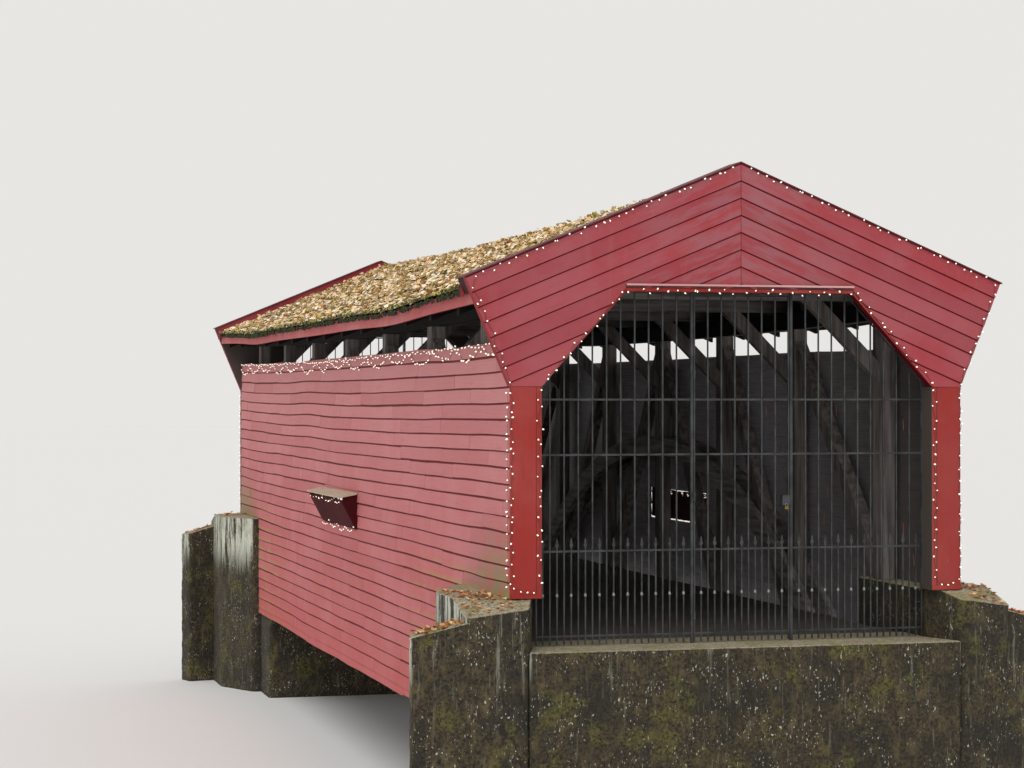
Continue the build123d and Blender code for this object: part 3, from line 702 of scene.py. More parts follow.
def portal_trim():
    """The header strip over the opening, and each post's wide board, narrow strip and base band."""
    strip = 0.062
    seam = 0.003
    board = 0.016
    band = 0.008
    band_rise = 0.05
    upright = (0, 0, POST_TOP - BASE - 0.004)
    boards = [((-HEAD_HALF, FRONT, HEAD), (2 * HEAD_HALF, 0, 0), (0, 0, 0.043))]
    for side in (-1, 1):
        inner, outer = side * OPENING_HALF, side * WALL_OUT
        joint = inner + side * strip
        boards.append(((joint + side * seam, FRONT, BASE), upright, (outer - joint - side * seam, 0, 0)))
        boards.append(((inner, FRONT, BASE), upright, (joint - inner, 0, 0)))
    front = planks(*[np.array(column) for column in zip(*boards)], (0, -board, 0), stations=6, ease=0.003)
    corners = [(side * (OPENING_HALF + 0.001), FRONT - board, BASE + 0.002) for side in (-1, 1)]
    runs = [(side * (WALL_OUT - OPENING_HALF), 0, 0) for side in (-1, 1)]
    return joined(front, planks(corners, runs, (0, 0, band_rise), (0, -band, 0), ease=0.002))


def moulding_strip():
    """A strip nailed to the upper half of the moulding over the opening, painted pale as a highlight."""
    low, high = MOULDING
    height = 0.5 * (high.z - low.z)
    return planks((low.x, low.y, high.z - height), (high.x - low.x, 0, 0), (0, 0, height), (0, -0.005, 0),
                  stations=6, ease=0.002)


portal_front = both_sides(chevron_boards(), chevron_boards())
for end, place in ENDS.items():
    make_piece(end + "_portal_boards", place(portal_front), portal_paint)
for end, place in ENDS.items():
    make_piece(end + "_moulding_strip", place(moulding_strip()), moulding_highlight_paint)
post_boards = portal_trim()
for end, place in ENDS.items():
    make_piece(end + "_post_boards", place(post_boards), post_paint)


# Roof: v is the distance down the slope from the ridge
SHINGLE = 0.0105
SHINGLE_COURSE = 0.140
SHINGLE_LENGTH = 0.34
SHINGLE_WIDTH = (0.09, 0.17)
SHEATHING_BOARDS = 13
SHEATHING_THICK = 0.024
FASCIA_THICK = 0.030
FASCIA_HEIGHT = 0.120
STEPS = 4
STEP_START = 0.002
STEP_RISE = 0.028
SHINGLE_TILT = 0.055
PITCH = math.hypot(1, SLOPE)
DOWN_SLOPE = np.array([1.0, 0, -SLOPE]) / PITCH
OFF_SLOPE = np.array([SLOPE, 0, 1.0]) / PITCH
SLOPE_LENGTH = ROOF_HALF * PITCH
BOARDS_LOW = RIDGE_LINE - 0.076


def course_lift(v):
    """Rise of the shingles over the boards: it grows in a straight line over each step down the slope."""
    x = v / PITCH - CAP_WIDTH
    share = np.clip(x, 0, None) / ((ROOF_HALF - CAP_WIDTH) / STEPS)
    share -= np.floor(np.minimum(share, STEPS - 0.001))
    return np.where(x > 0, STEP_START + STEP_RISE * share, 0.0)


def on_slope(v, y, height):
    """Points on the +X slope, at a height off the roof's plane."""
    points = np.outer(v, DOWN_SLOPE) + (0, 0, RIDGE_LINE) + np.outer(height, OFF_SLOPE)
    points[:, 1] = y
    return points


def shingle_slope():
    """Courses of shingles of random width, each course over the upper part of the one below."""
    starts, runs, sides = [], [], []
    for n in range(int(SLOPE_LENGTH / SHINGLE_COURSE) + 1):
        butt = SLOPE_LENGTH - n * SHINGLE_COURSE
        length = min(SHINGLE_LENGTH, butt)
        width = rng.uniform(*SHINGLE_WIDTH, 260)
        y = -ROOF_END + np.cumsum(width) - width - rng.uniform(0, SHINGLE_WIDTH[0])
        keep = (y > -ROOF_END) & (y + width < ROOF_END)
        y, width = y[keep], width[keep]
        lift = rng.uniform(0, 0.005, len(y))
        slip = rng.uniform(-0.006, 0.010, len(y))
        at = np.clip(butt + slip, 0.05, SLOPE_LENGTH - 0.001)
        starts.append(on_slope(at, y, course_lift(at) - SHINGLE + lift))
        runs.append(np.tile(-length * DOWN_SLOPE - SHINGLE_TILT * length * OFF_SLOPE, (len(y), 1)))
        sides.append(xyz(0, width - rng.uniform(0.002, 0.006, len(y)), 0))
    starts, runs, sides = [np.concatenate(rows) for rows in (starts, runs, sides)]
    return planks(starts, runs, sides, OFF_SLOPE * SHINGLE, bend=roof_bend)


def sheathing():
    """Roof boards along the bridge, lying on the rafters, about 0.25 m wide."""
    width = (FASCIA.x - FASCIA_THICK) * PITCH / SHEATHING_BOARDS
    gap = 0.004
    skins = []
    for n in range(SHEATHING_BOARDS):
        cuts = np.sort(rng.uniform(-ROOF_END, ROOF_END, 4))
        ends = np.concatenate([[-ROOF_END], cuts, [ROOF_END]])
        ends = ends[np.concatenate([[True], np.diff(ends) > 0.4])]
        ends[-1] = ROOF_END
        start = (n * width + gap / 2) * DOWN_SLOPE + xyz(0, ends[:-1], BOARDS_LOW)
        run = xyz(0, np.diff(ends) - gap, 0)
        skins.append(planks(start, run, DOWN_SLOPE * (width - gap), OFF_SLOPE * SHEATHING_THICK, stations=8,
                            bend=sag_bend))
    return joined(*skins)


def ridge_shingles():
    """Pairs of shingles lapped along the ridge."""
    length = 0.30
    lap_rise = 0.010
    y = np.arange(-ROOF_END, ROOF_END - length, 0.14)
    start = xyz(0, y, RIDGE_LINE + 0.012 + lap_rise)
    return planks(start, (0, length, -lap_rise), DOWN_SLOPE * 0.15, OFF_SLOPE * 0.010, bend=roof_bend)


def eave_board():
    """Boards about 4 m long along the rafter ends, up to the shingles, following the roof's dips."""
    reach = FASCIA.y
    ends = np.array([-reach, -5.6, -1.9, 2.4, 6.3, reach])
    low = FASCIA.z - FASCIA_HEIGHT + drop(reach)
    high = RIDGE_LINE - SLOPE * FASCIA.x - 0.022
    start = xyz(FASCIA.x - FASCIA_THICK, ends[:-1], low)
    run = xyz(0, np.diff(ends) - 0.004, 0)
    return planks(start, run, (0, 0, high - low), (FASCIA_THICK, 0, 0), stations=24, ease=0.003, bow=0.003,
                  bend=roof_bend)


for side, place in SIDES.items():
    make_piece(side + "_roof_shingles", place(shingle_slope()), shingle,
               stands_for=[side + "_roof"])
make_piece("roof_sheathing", both_sides(sheathing()), roof_boards)
make_piece("ridge_shingles", both_sides(ridge_shingles()), shingle,
           stands_for=["ridge_cap"])
make_piece("eave_fascia", both_sides(eave_board(), eave_board()), trim_paint,
           stands_for=["eave_boards"])


# Leaves and moss: small closed shapes of 1 m, with rows of points and of faces
LEAF = np.array([[0, 0.05, 0.02], [0.42, 0.40, 0.13], [1, 0.06, 0.05], [0.62, -0.36, 0.15],
                 [0.16, -0.30, 0.06], [0.48, 0, 0.0], [0.48, 0, -0.02]])
LEAF_FACES = [[(n + 1) % 5, n, 5] for n in range(5)] + [[n, (n + 1) % 5, 6] for n in range(5)]
TUFT = np.array([[1, 0, 0], [0.3, 0.9, 0.1], [-0.8, 0.6, 0], [-0.8, -0.6, 0.1], [0.3, -0.9, 0],
                 [0.1, 0, 0.8], [0, 0.1, -0.7]])
TUFT_FACES = [[n, (n + 1) % 5, 5] for n in range(5)] + [[(n + 1) % 5, n, 6] for n in range(5)]


def scattered(places, normals, shape, faces, size, tilt, tone, curl):
    """A small closed shape set down at many places: turned at random about the normal and tipped a little.

    curl is the range of factors by which its height is stretched.
    """
    count = len(places)
    lean = unit(normals + tilt * rng.normal(0, 1, (count, 3)))
    ahead = rng.normal(0, 1, (count, 3))
    ahead = unit(ahead - lean * np.sum(ahead * lean, axis=1, keepdims=True))
    side = np.cross(lean, ahead)
    stretch = rng.uniform(*curl, (count, 1, 1))
    local = shape[None] * np.asarray(size)[:, None, None]
    points = (places[:, None] + local[..., :1] * ahead[:, None] + local[..., 1:2] * side[:, None]
              + local[..., 2:] * lean[:, None] * stretch)
    index = np.asarray(faces)[None] + np.arange(count)[:, None, None] * len(shape)
    return skin(points, [index.reshape(-1, 3)], points[..., :2], np.repeat(tone, len(shape)))


def leaves(places, normals, size, tilt, curl=(0.2, 2.2)):
    """Leaves of a size from this range, each with a tone of its own."""
    count = len(places)
    size = rng.uniform(*size, count)
    return scattered(places, normals, LEAF, LEAF_FACES, size, tilt, rng.uniform(0, 1, count), curl)


def roof_litter(count):
    """Leaves lying thick on one slope, thinned where slow noise is low."""
    v = rng.uniform(0.02, SLOPE_LENGTH - 0.03, count * 2)
    y = rng.uniform(-ROOF_END + 0.04, ROOF_END - 0.04, count * 2)
    patch = value_noise(xyz(v, y, 0), 0.55, 31)
    keep = np.flatnonzero(rng.uniform(-2.0, 0.5, len(v)) < patch)[:count]
    v, y = v[keep], y[keep]
    places = roof_bend(on_slope(v, y, course_lift(v) + rng.uniform(0.004, 0.024, len(v))))
    return leaves(places, OFF_SLOPE, (0.045, 0.110), 0.22)


def ridge_litter(count):
    """Leaves heaped up to 65 mm deep over the ridge, where the two slopes' litter meets."""
    x = rng.normal(0, 0.22, count)
    y = rng.uniform(-ROOF_END + 0.04, ROOF_END - 0.04, count)
    heap = 0.020 + 0.045 * np.exp(-(x / 0.3) ** 2) * rng.uniform(0.3, 1.0, count)
    places = roof_bend(xyz(x, y, RIDGE_LINE - SLOPE * np.abs(x) + heap))
    return leaves(places, unit(xyz(x, 0, 0.5)), (0.045, 0.100), 0.35)


def moss_fringe(count, hanging):
    """Moss in tufts along the eave: pale ones on the shingle ends, and hanging ones below, dark as painted
    shade.
    """
    total = count + hanging
    y = rng.uniform(-ROOF_END + 0.03, ROOF_END - 0.03, total)
    below = np.arange(total) >= count
    v = SLOPE_LENGTH - np.where(below, rng.uniform(0.0, 0.012, total), 0.004 + rng.exponential(0.040, total))
    height = np.where(below, -rng.uniform(0.0, 0.055, total), 0.024 + rng.uniform(0, 0.020, total))
    clump = value_noise(xyz(y, 0, 0), 0.22, 12)
    keep = rng.uniform(-1.2, 0.9, total) < clump
    places = roof_bend(on_slope(v[keep], y[keep], height[keep]))
    number = len(places)
    # Hanging tufts take only the darkest tones, as painted shade.
    tone = np.where(below[keep], rng.uniform(0, 0.45, number), rng.uniform(0.10, 1.0, number) ** 1.3)
    size = rng.uniform(0.012, 0.026, number)
    return scattered(places, OFF_SLOPE, TUFT, TUFT_FACES, size, 0.5, tone, (0.8, 1.6))


LEAVES_A_SLOPE = 19000
RIDGE_LEAVES = 3600
PALE_TUFTS = 4200
HANGING_TUFTS = 2400
make_piece("left_roof_leaves", mirrored(roof_litter(LEAVES_A_SLOPE)), litter)
make_piece("right_roof_leaves", roof_litter(LEAVES_A_SLOPE), litter)
make_piece("ridge_leaves", ridge_litter(RIDGE_LEAVES), litter)
left_moss = mirrored(moss_fringe(PALE_TUFTS, HANGING_TUFTS))
right_moss = moss_fringe(PALE_TUFTS, HANGING_TUFTS)
make_piece("eave_moss", joined(left_moss, right_moss), moss)


# Floor planks across the bridge
def deck_planks():
    """Planks 0.20 to 0.27 m wide, 6 mm apart, whose ends and tops are each a little short of the deck's."""
    y = [DECK_LOW.y]
    while y[-1] < DECK_HIGH.y - 0.30:
        y.append(y[-1] + rng.uniform(0.20, 0.27))
    y = np.array(y[:-1] + [DECK_HIGH.y])
    count = len(y) - 1
    reach = DECK_HIGH.x - rng.uniform(0.0, 0.03, count)
    thick = DECK_HIGH.z - DECK_LOW.z - rng.uniform(0.001, 0.006, count)
    return planks(xyz(-reach, y[:-1], DECK_LOW.z), xyz(2 * reach, 0, 0), xyz(0, np.diff(y) - 0.006, 0),
                  xyz(0, 0, thick), stations=5, ease=0.004)


make_piece("deck_planks", deck_planks(), floor_boards, stands_for=["floor_deck"])

# Window shields: a bare sloping board over a leaning front of upright boards
HOOD_FALL = 0.055
SHIELD_BOARDS = 11
SHIELD_TOE = 0.025
SHIELD_GAP = 0.09
FRONT_THICK = 0.022
CHEEK_THICK = 0.024


def shield_boards():
    """Upright boards that lean out in a line from the shield's toe to its lip, and two flat cheeks."""
    lip = SHIELD[1].x
    toe = WALL_OUT + SHIELD_TOE
    low = WINDOW_Z[0] - SHIELD_TOE
    high = WINDOW_Z[1] - SHIELD_GAP
    width = (WINDOW_Y[1] - WINDOW_Y[0]) / SHIELD_BOARDS
    y = WINDOW_Y[0] + np.arange(SHIELD_BOARDS) * width
    lean = np.array([lip - toe, 0, high - low])
    out = np.array([FRONT_THICK, 0, -FRONT_THICK * lean[0] / lean[2]])
    start = xyz(toe, y + 0.002, low)
    run = lean + np.outer(rng.uniform(-0.006, 0.006, SHIELD_BOARDS), (0, 0, 1))
    fronts = planks(start - out, run, (0, width - 0.004, 0), out, stations=4, ease=0.002, bow=0.001)
    edge = lip - CHEEK_THICK
    under_hood = WINDOW_Z[1] - HOOD_FALL * (edge - WALL_OUT) / (HOOD[1].x - WALL_OUT)
    outline = np.array([(WALL_OUT, low), (toe - FRONT_THICK, low), (edge, high), (edge, under_hood),
                        (WALL_OUT, WINDOW_Z[1] - 0.001)])
    cheeks = []
    for near_y in (WINDOW_Y[0], WINDOW_Y[1] - CHEEK_THICK):
        ring = np.stack([np.insert(outline, 1, y, axis=1) for y in (near_y, near_y + CHEEK_THICK)])
        # The cheeks take a dark tone of 0.9, which darkens their paint as painted shade.
        cheeks.append(swept(ring[None, :, ::-1], tone=0.9))
    return joined(fronts, *cheeks)


def hood_boards():
    """Two boards side by side, each given by its start and width as shares of the reach, and its fall."""
    low, high = HOOD
    reach = high.x - WALL_OUT
    level = WINDOW_Z[1] + 0.001
    boards = ((0.0, 0.51, 0.0281), (0.52, 0.48, 0.0264))
    start = [(WALL_OUT + reach * inner, low.y, level - HOOD_FALL * inner) for inner, _, _ in boards]
    across = [(reach * width, 0, -fall) for _, width, fall in boards]
    return planks(start, (0, high.y - low.y, 0), across, (0.004, 0, 0.021), stations=8, ease=0.003,
                  bow=0.002)


make_piece("window_shield_boards", both_sides(shield_boards()), shield_paint,
           stands_for=["window_shields"])
make_piece("window_hood_boards", both_sides(hood_boards()), bare_board,
           stands_for=["window_hoods"])


# Castings: rough concrete blocks with worn arrises
def even_path(corners, spacing):
    """A closed run of points along straight sides, about evenly spaced."""
    corners = np.asarray(corners, float)
    points = []
    for start, end in zip(corners, np.roll(corners, -1, axis=0)):
        count = max(1, round(np.linalg.norm(end - start) / spacing))
        points.append(start + (end - start) * np.arange(count)[:, None] / count)
    return np.concatenate(points)


def rounded(path, passes):
    """Corners worn round: each point moves to a mean of itself and its neighbours, again and again."""
    for _ in range(passes):
        path = (np.roll(path, 1, axis=0) + 2 * path + np.roll(path, -1, axis=0)) / 4
    return path


def casting(corners, top, spacing=0.045, arris=0.035, seed=1, wear=3, rough=1.0):
    """A cast block: its outline carried up to top(x, y), a quarter-round arris, and rings closing in.

    The outline runs anticlockwise seen from above. Every point is then pushed
    inwards, along the surface's normal, by noise of three sizes: bulges of
    0.4 m, lumps of 0.1 m and pebbles of 0.05 m. Tops are pushed 0.3 times as far.
    """
    path = rounded(even_path(corners, spacing), wear)
    ahead = np.roll(path, -1, axis=0) - np.roll(path, 1, axis=0)
    outward = unit(np.stack([ahead[:, 1], -ahead[:, 0]], axis=1))
    height = top(path[:, 0], path[:, 1])
    levels = np.linspace(0, 1, max(3, round(height.max() / spacing)))
    rings = [np.column_stack([path, level * (height - arris)]) for level in levels]
    for turn in np.radians((22.5, 45, 67.5, 90)):
        inset = path - outward * arris * (1 - math.cos(turn))
        rings.append(np.column_stack([inset, height - arris + arris * math.sin(turn)]))
    edge = rings[-1][:, :2]
    middle = edge.mean(axis=0)
    closing = max(3, round(np.linalg.norm(edge - middle, axis=1).min() / spacing))
    for share in np.linspace(0, 1, closing + 1)[1:-1]:
        ring = edge + (middle - edge) * share
        rings.append(np.column_stack([ring, top(ring[:, 0], ring[:, 1])]))
    rings = np.array(rings)
    around = np.roll(rings, -1, axis=1) - np.roll(rings, 1, axis=1)
    normal = unit(np.cross(around, np.gradient(rings, axis=0)) + 1e-12)
    sizes = ((0.008, 0.42), (0.005, 0.11), (0.004, 0.05))
    pushes = [depth * (value_noise(rings, cell, seed + n) - 1) for n, (depth, cell) in enumerate(sizes)]
    push = sum(pushes) * rough * (1 - 0.7 * np.clip(normal[..., 2], 0, 1))
    rings = rings + normal * push[..., None]
    rings[0, :, 2] = 0
    count = len(path)
    index = np.arange(len(rings) * count).reshape(-1, count)
    beside = np.roll(index, -1, axis=1)
    quads = np.stack([index[:-1], beside[:-1], beside[1:], index[1:]], axis=-1).reshape(-1, 4)
    low_fan = np.stack([index[0], np.full(count, index.size), beside[0]], axis=1)
    high_fan = np.stack([index[-1], beside[-1], np.full(count, index.size + 1)], axis=1)
    points = np.concatenate([rings.reshape(-1, 3), [[*middle, 0], [*middle, top(*middle)]]])
    return skin(points, [quads, low_fan, high_fan], points[:, :2], 0.5)


PEDESTAL_IN = WING[0].x
PEDESTAL_OUT = 3.27
PEDESTAL_OUTER_BACK = 1.32
PEDESTAL_CORNER = 0.11
MOUTH_SPLAY = 0.2
MOUTH_DEPTH = 0.6
WING_LEAN = math.tan(math.radians(15))
WING_THICK = 0.45
WING_ROOT = WALL_OUT - 0.05
WING_FALL = 0.30
WING_WEAR = 0.022
WORN_DEPTH = 0.09
WORN_EDGE = FRONT - 0.03
WORN_RISE = WORN_DEPTH / (WORN_EDGE - WING[0].y)
WORN_ACROSS = WORN_RISE * 0.33 / 0.40


def wing_line(x):
    """Y of the wing's front face, which leans back beyond the portal post."""
    return WING[0].y + WING_LEAN * np.maximum(0, np.asarray(x) - WALL_OUT)


def wing_top(x, y):
    """The wing's top starts a little below the pedestal's and falls outwards."""
    return BASE - WORN_DEPTH - WING_FALL * (np.asarray(x) - WALL_OUT) / (WING[1].x - WALL_OUT)


def pedestal_top(x, y):
    """The pedestal's front edge and outer front corner are worn down to the wing by two slanting planes."""
    ahead = WORN_RISE * (np.asarray(y) - WORN_EDGE)
    return BASE + np.minimum(0, np.minimum(ahead, ahead - WORN_ACROSS * (np.asarray(x) - WALL_OUT)))


def wing_casting(seed):
    """Pedestal and wing on the +X side of the near end. The wing reaches out by about what wear takes off."""
    front = WING[0].y
    back = FRONT + PEDESTAL_BACK
    pedestal = [(PEDESTAL_IN + MOUTH_SPLAY, front), (WALL_OUT, front),
                (PEDESTAL_OUT, wing_line(PEDESTAL_OUT)), (PEDESTAL_OUT, FRONT + PEDESTAL_OUTER_BACK),
                (WALL_OUT + PEDESTAL_CORNER, back), (PEDESTAL_IN, back), (PEDESTAL_IN, front + MOUTH_DEPTH)]
    length = math.hypot(1, WING_LEAN)
    reach = WING[1].x + WING_WEAR
    tip = np.array([reach, wing_line(reach)])
    end = tip + np.array([-WING_LEAN, 1]) * WING_THICK / length
    wing = [(WING_ROOT, front + 0.004), tip, end, (WING_ROOT, front + WING_THICK * length)]
    return joined(casting(pedestal, pedestal_top, seed=seed, wear=5), casting(wing, wing_top, seed=seed + 7))


def abutment_casting(seed):
    """Road end, joist seat and truss seat, stepped down towards the stream."""
    front = ABUTMENT[0].y
    road_end = FRONT + 0.9
    back = FRONT + PEDESTAL_BACK
    side = PEDESTAL_IN + 0.03
    mouth = side + MOUTH_SPLAY
    reach = ABUTMENT[1].x
    overlap = 0.02

    def oblong(half, start, end):
        """A rectangle of this half width, from one place along the road to another."""
        return [(-half, start), (half, start), (half, end), (-half, end)]

    blocks = [
        (ROAD, [(-mouth, front), (mouth, front), (side, front + MOUTH_DEPTH), (side, road_end),
                (-side, road_end), (-side, front + MOUTH_DEPTH)]),
        (ROAD - 0.07 - 0.17, oblong(side, road_end - overlap, back)),
        (BASE - 1.47, oblong(reach, back - overlap, ABUTMENT[1].y))]
    return joined(*[casting(plan, lambda x, y: level + 0 * np.asarray(x), spacing=0.085, arris=0.03,
                            seed=seed + 9 * n, wear=1, rough=0.6) for n, (level, plan) in enumerate(blocks)])


CORNERS = {"near_right": (as_made, 40), "near_left": (mirrored, 60), "far_left": (far_end, 80),
           "far_right": (lambda part: far_end(mirrored(part)), 100)}
for corner, (place, seed) in CORNERS.items():
    make_piece(corner + "_casting", place(wing_casting(seed)), concrete,
               stands_for=[corner + "_wing_wall"], smooth=True)
for end, seed in (("near", 120), ("far", 150)):
    make_piece(end + "_abutment_casting", ENDS[end](abutment_casting(seed)), concrete,
               stands_for=[end + "_abutment"], smooth=True)


def pedestal_leaves(count):
    """Leaves that lie loose on a pedestal's and a wing's top, on the +X side of the near end."""
    x = rng.uniform(WALL_OUT + 0.02, WING[1].x - 0.10, count)
    y = wing_line(x) + rng.uniform(0.05, 0.36, count)
    high = x < PEDESTAL_OUT - 0.06
    y = np.where(high, wing_line(x) + rng.uniform(0.05, 1.5, count), y)
    z = np.where(high, pedestal_top(x, y), wing_top(x, y)) + 0.002
    return leaves(xyz(x, y, z), (0.0, 0.0, 1.0), (0.030, 0.075), 0.25)


def cap_leaves(count):
    """Leaves and twigs caught on the sloping boards along the top of a portal."""
    x = rng.uniform(-EAVE_HALF, EAVE_HALF, count)
    y = rng.uniform(CAP[0].y + 0.03, CAP[1].y - 0.03, count)
    places = xyz(x, y, CAP[1].z - 0.017 - SLOPE * np.abs(x))
    return leaves(places, unit(xyz(SLOPE * np.sign(x), 0, 1)), (0.02, 0.050), 0.12, (0.1, 0.6))


tops = [pedestal_leaves(240), mirrored(pedestal_leaves(320)), cap_leaves(150)]
tops += [far_end(part) for part in (pedestal_leaves(150), mirrored(pedestal_leaves(150)), cap_leaves(150))]
make_piece("loose_leaves", joined(*tops), loose_leaves)

# Strings of small lamps, stapled to the boards
LAMP_SPACING = 0.105
LAMP_SIZE = (0.021, 0.029)
LAMP = np.array([[0.5 * r * math.cos(a), 0.5 * r * math.sin(a), z]
                 for r, z in ((0.42, 0.0), (0.74, 0.42), (0.55, 0.78)) for a in np.arange(5) * math.tau / 5]
                + [[0, 0, -0.12], [0, 0, 1.0]])
LAMP_FACES = ([[ring + n, ring + (n + 1) % 5, ring + 5 + (n + 1) % 5] for ring in (0, 5) for n in range(5)]
              + [[ring + n, ring + 5 + (n + 1) % 5, ring + 5 + n] for ring in (0, 5) for n in range(5)]
              + [[(n + 1) % 5, n, 15] for n in range(5)] + [[10 + n, 10 + (n + 1) % 5, 16] for n in range(5)])
AHEAD = (0.0, -1.0, 0.0)
SIDEWAYS = (1.0, 0.0, 0.0)


def straight_run(start, end, out, amplitude=0.022):
    """Lamp places from start to end, to the left and right of the line in turn."""
    start, end, out = (np.asarray(v, float) for v in (start, end, out))
    count = max(2, round(np.linalg.norm(end - start) / LAMP_SPACING))
    share = (np.arange(count) + 0.5 + rng.uniform(-0.42, 0.42, count)) / count
    side = unit(np.cross(end - start, out))
    sway = amplitude * np.where(np.arange(count) % 2, 1, -1) * rng.uniform(0.3, 1.2, count)
    points = start + share[:, None] * (end - start) + sway[:, None] * side
    return points + rng.uniform(-0.010, 0.010, (count, 3)) * (1 - np.abs(out))


def swag(start, end, sag, spacing=0.080, sway=0.008):
    """Lamp places along a string that hangs in a parabola between two points."""
    start, end = np.asarray(start, float), np.asarray(end, float)
    count = max(4, round((np.linalg.norm(end - start) + 2.5 * sag * sag) / spacing))
    share = np.arange(count) / count
    points = start + share[:, None] * (end - start)
    points[:, 2] -= 4 * sag * share * (1 - share)
    return points + rng.uniform(-sway, sway, (count, 3)) * (0.2, 1, 1)


def wire(points, radius=0.0025):
    """A square bar of this half diagonal through the points."""
    ahead = unit(np.gradient(points, axis=0))
    across = unit(np.cross(ahead, (0.3, 0.8, 0.5)))
    third = np.cross(ahead, across)
    corners = [points + radius * turn for turn in (across, third, -across, -third)]
    return swept(np.stack(corners, axis=1)[None])


def lamps(points, out):
    """A small frosted bulb at each place, pointing away from the board in its own direction."""
    places = points + 0.006 * np.asarray(out)
    normals = unit(np.broadcast_to(out, places.shape) + rng.normal(0, 0.55, places.shape) + (0, 0, -0.2))
    inwards = np.sum(normals * out, axis=1) < 0.15
    normals = np.where(inwards[:, None], unit(normals + 0.8 * np.asarray(out)), normals)
    size = rng.uniform(*LAMP_SIZE, len(places))
    return scattered(places, normals, LAMP, LAMP_FACES, size, 0.0, rng.uniform(0, 1, len(places)), (1.0, 1.0))


def portal_strings():
    """One string on the +X half of the near portal.

    It runs in turn along the rake, the leaning edge, the post's outer edge, base
    and inner edge, and the opening's slanted side and head.
    """
    boards, posts = FRONT - 0.030, FRONT - 0.028
    edge = 0.030
    rim = WALL_OUT - 0.012
    inner = OPENING_HALF + edge
    foot = BASE + 0.13
    rake = [(0.03, boards, APEX - 0.035), (EAVE_HALF - 0.06, boards, EAVE_TIP - 0.010)]
    lean = [(EAVE_HALF - 0.07, boards, EAVE_TIP - 0.07), (WALL_OUT - 0.01, boards, POST_TOP + 0.02)]
    slant = [(OPENING_HALF + 0.01, boards, POST_TOP + 0.03), (HEAD_HALF + 0.01, boards, HEAD + 0.03)]
    runs = [
        straight_run(*rake, AHEAD, 0.014),
        straight_run(*lean, AHEAD),
        straight_run((rim, posts, POST_TOP), (rim, posts, foot), AHEAD, 0.012),
        swag((WALL_OUT - edge, posts - 0.008, foot), (inner, posts - 0.008, foot - 0.02), 0.055),
        straight_run((inner, posts, foot), (inner, posts, POST_TOP), AHEAD),
        straight_run(*slant, AHEAD),
        straight_run((HEAD_HALF, boards, HEAD + 0.006), (0.03, boards, HEAD + 0.006), AHEAD)]
    return [(np.concatenate(runs), AHEAD)]


def eave_swags():
    """Swags of about 1.4 m along the +X wall's top, a string straight along its edge, one down each end."""
    stand = WALL_OUT + 0.010
    reach = -GABLE_BACK - 0.02
    ends = [-reach]
    while ends[-1] < reach - 1.9:
        ends.append(ends[-1] + rng.uniform(1.15, 1.6))
    ends.append(reach)
    hanging, along = [], []
    for y0, y1 in zip(ends, ends[1:]):
        start, end = [(stand, y, SIDING_TOP - 0.025 - drop(y, SIDING_SAG)) for y in (y0, y1)]
        hanging.append(swag(start, end, rng.uniform(0.10, 0.17), 0.13, 0.025))
        along.append(swag(start, end, 0.0, 0.17, 0.020))
    routes = [(np.concatenate(hanging), SIDEWAYS), (np.concatenate(along), SIDEWAYS)]
    for y in (-HALF_LENGTH + 0.055, HALF_LENGTH - 0.055):
        down = straight_run((stand, y, POST_TOP - 0.03), (stand, y, BASE + 0.10), SIDEWAYS, 0.012)
        routes.append((down, SIDEWAYS))
    return routes


def window_strings():
    """A tangle in the slit of the +X window shield, and four small swags along its foot."""
    y = np.linspace(WINDOW_Y[0] + 0.08, WINDOW_Y[1] - 0.08, 46)
    slit = xyz(SHIELD[1].x - 0.05 + 0.03 * np.sin(y * 23), y, WINDOW_Z[1] - 0.11 + 0.022 * np.sin(y * 31))
    slit += rng.uniform(-0.012, 0.012, slit.shape)
    ends = np.linspace(WINDOW_Y[0] + 0.02, WINDOW_Y[1] - 0.02, 5)
    places = xyz(WALL_OUT + 0.040, ends, WINDOW_Z[0] - 0.005)
    hanging = [swag(start, end, 0.07, 0.15, 0.016) for start, end in zip(places, places[1:])]
    return [(slit, SIDEWAYS), (np.concatenate(hanging), SIDEWAYS)]


def strung(routes):
    """The lamps and the wires of some routes."""
    bulbs = joined(*[lamps(points, out) for points, out in routes])
    return bulbs, joined(*[wire(points) for points, _ in routes])


near_half, near_mirror = strung(portal_strings()), strung(portal_strings())
wall_half, wall_mirror = strung(eave_swags() + window_strings()), strung(eave_swags() + window_strings())
for n, (label, material) in enumerate((("lamps", bulb_glass), ("wires", wire_skin))):
    portal = both_sides(near_half[n], near_mirror[n])
    for end, place in ENDS.items():
        make_piece(end + "_portal_" + label, place(portal), material, smooth=n == 0)
    walls = both_sides(wall_half[n], wall_mirror[n])
    make_piece("wall_" + label, walls, material, smooth=n == 0)

# Small ironwork of the gates
GATE_Y = (GATE_PANEL[0].y + GATE_PANEL[1].y) / 2
BAR_SPACING = 0.163
BAR_HALF = 0.008
LEAF_WIDTH = 1.151
RAILS = [BASE + level for level in (-0.452, 0.500, 1.582, 2.205)]
FIXED_SPANS = [(-OPENING_HALF, GATE_POSTS[0].x), (GATE_POSTS[1].x, OPENING_HALF)]
LEAF_SPAN = [(GATE_LEAF[1].x - LEAF_WIDTH, GATE_LEAF[1].x - BAR_HALF)]
LOCK_X = GATE_LEAF[1].x - 0.045
LOCK_Y = GATE_LEAF[0].y + 0.010
LOCK_Z = BASE + 0.965
LOCK_BODY = (0.044, 0.018, 0.038)
SHACKLE_HALF = 0.014
CONE = [(0.011, -0.010), (0.018, -0.008), (0.017, 0.002), (0.0125, 0.022), (0.0115, 0.026)]
RIVET = [(0.006, -0.001), (0.006, 0.001), (0.004, 0.0035), (0.001, 0.0045)]
STAPLE = [(0.0035, 0), (0.0035, 0.018), (0.006, 0.019), (0.006, 0.022)]


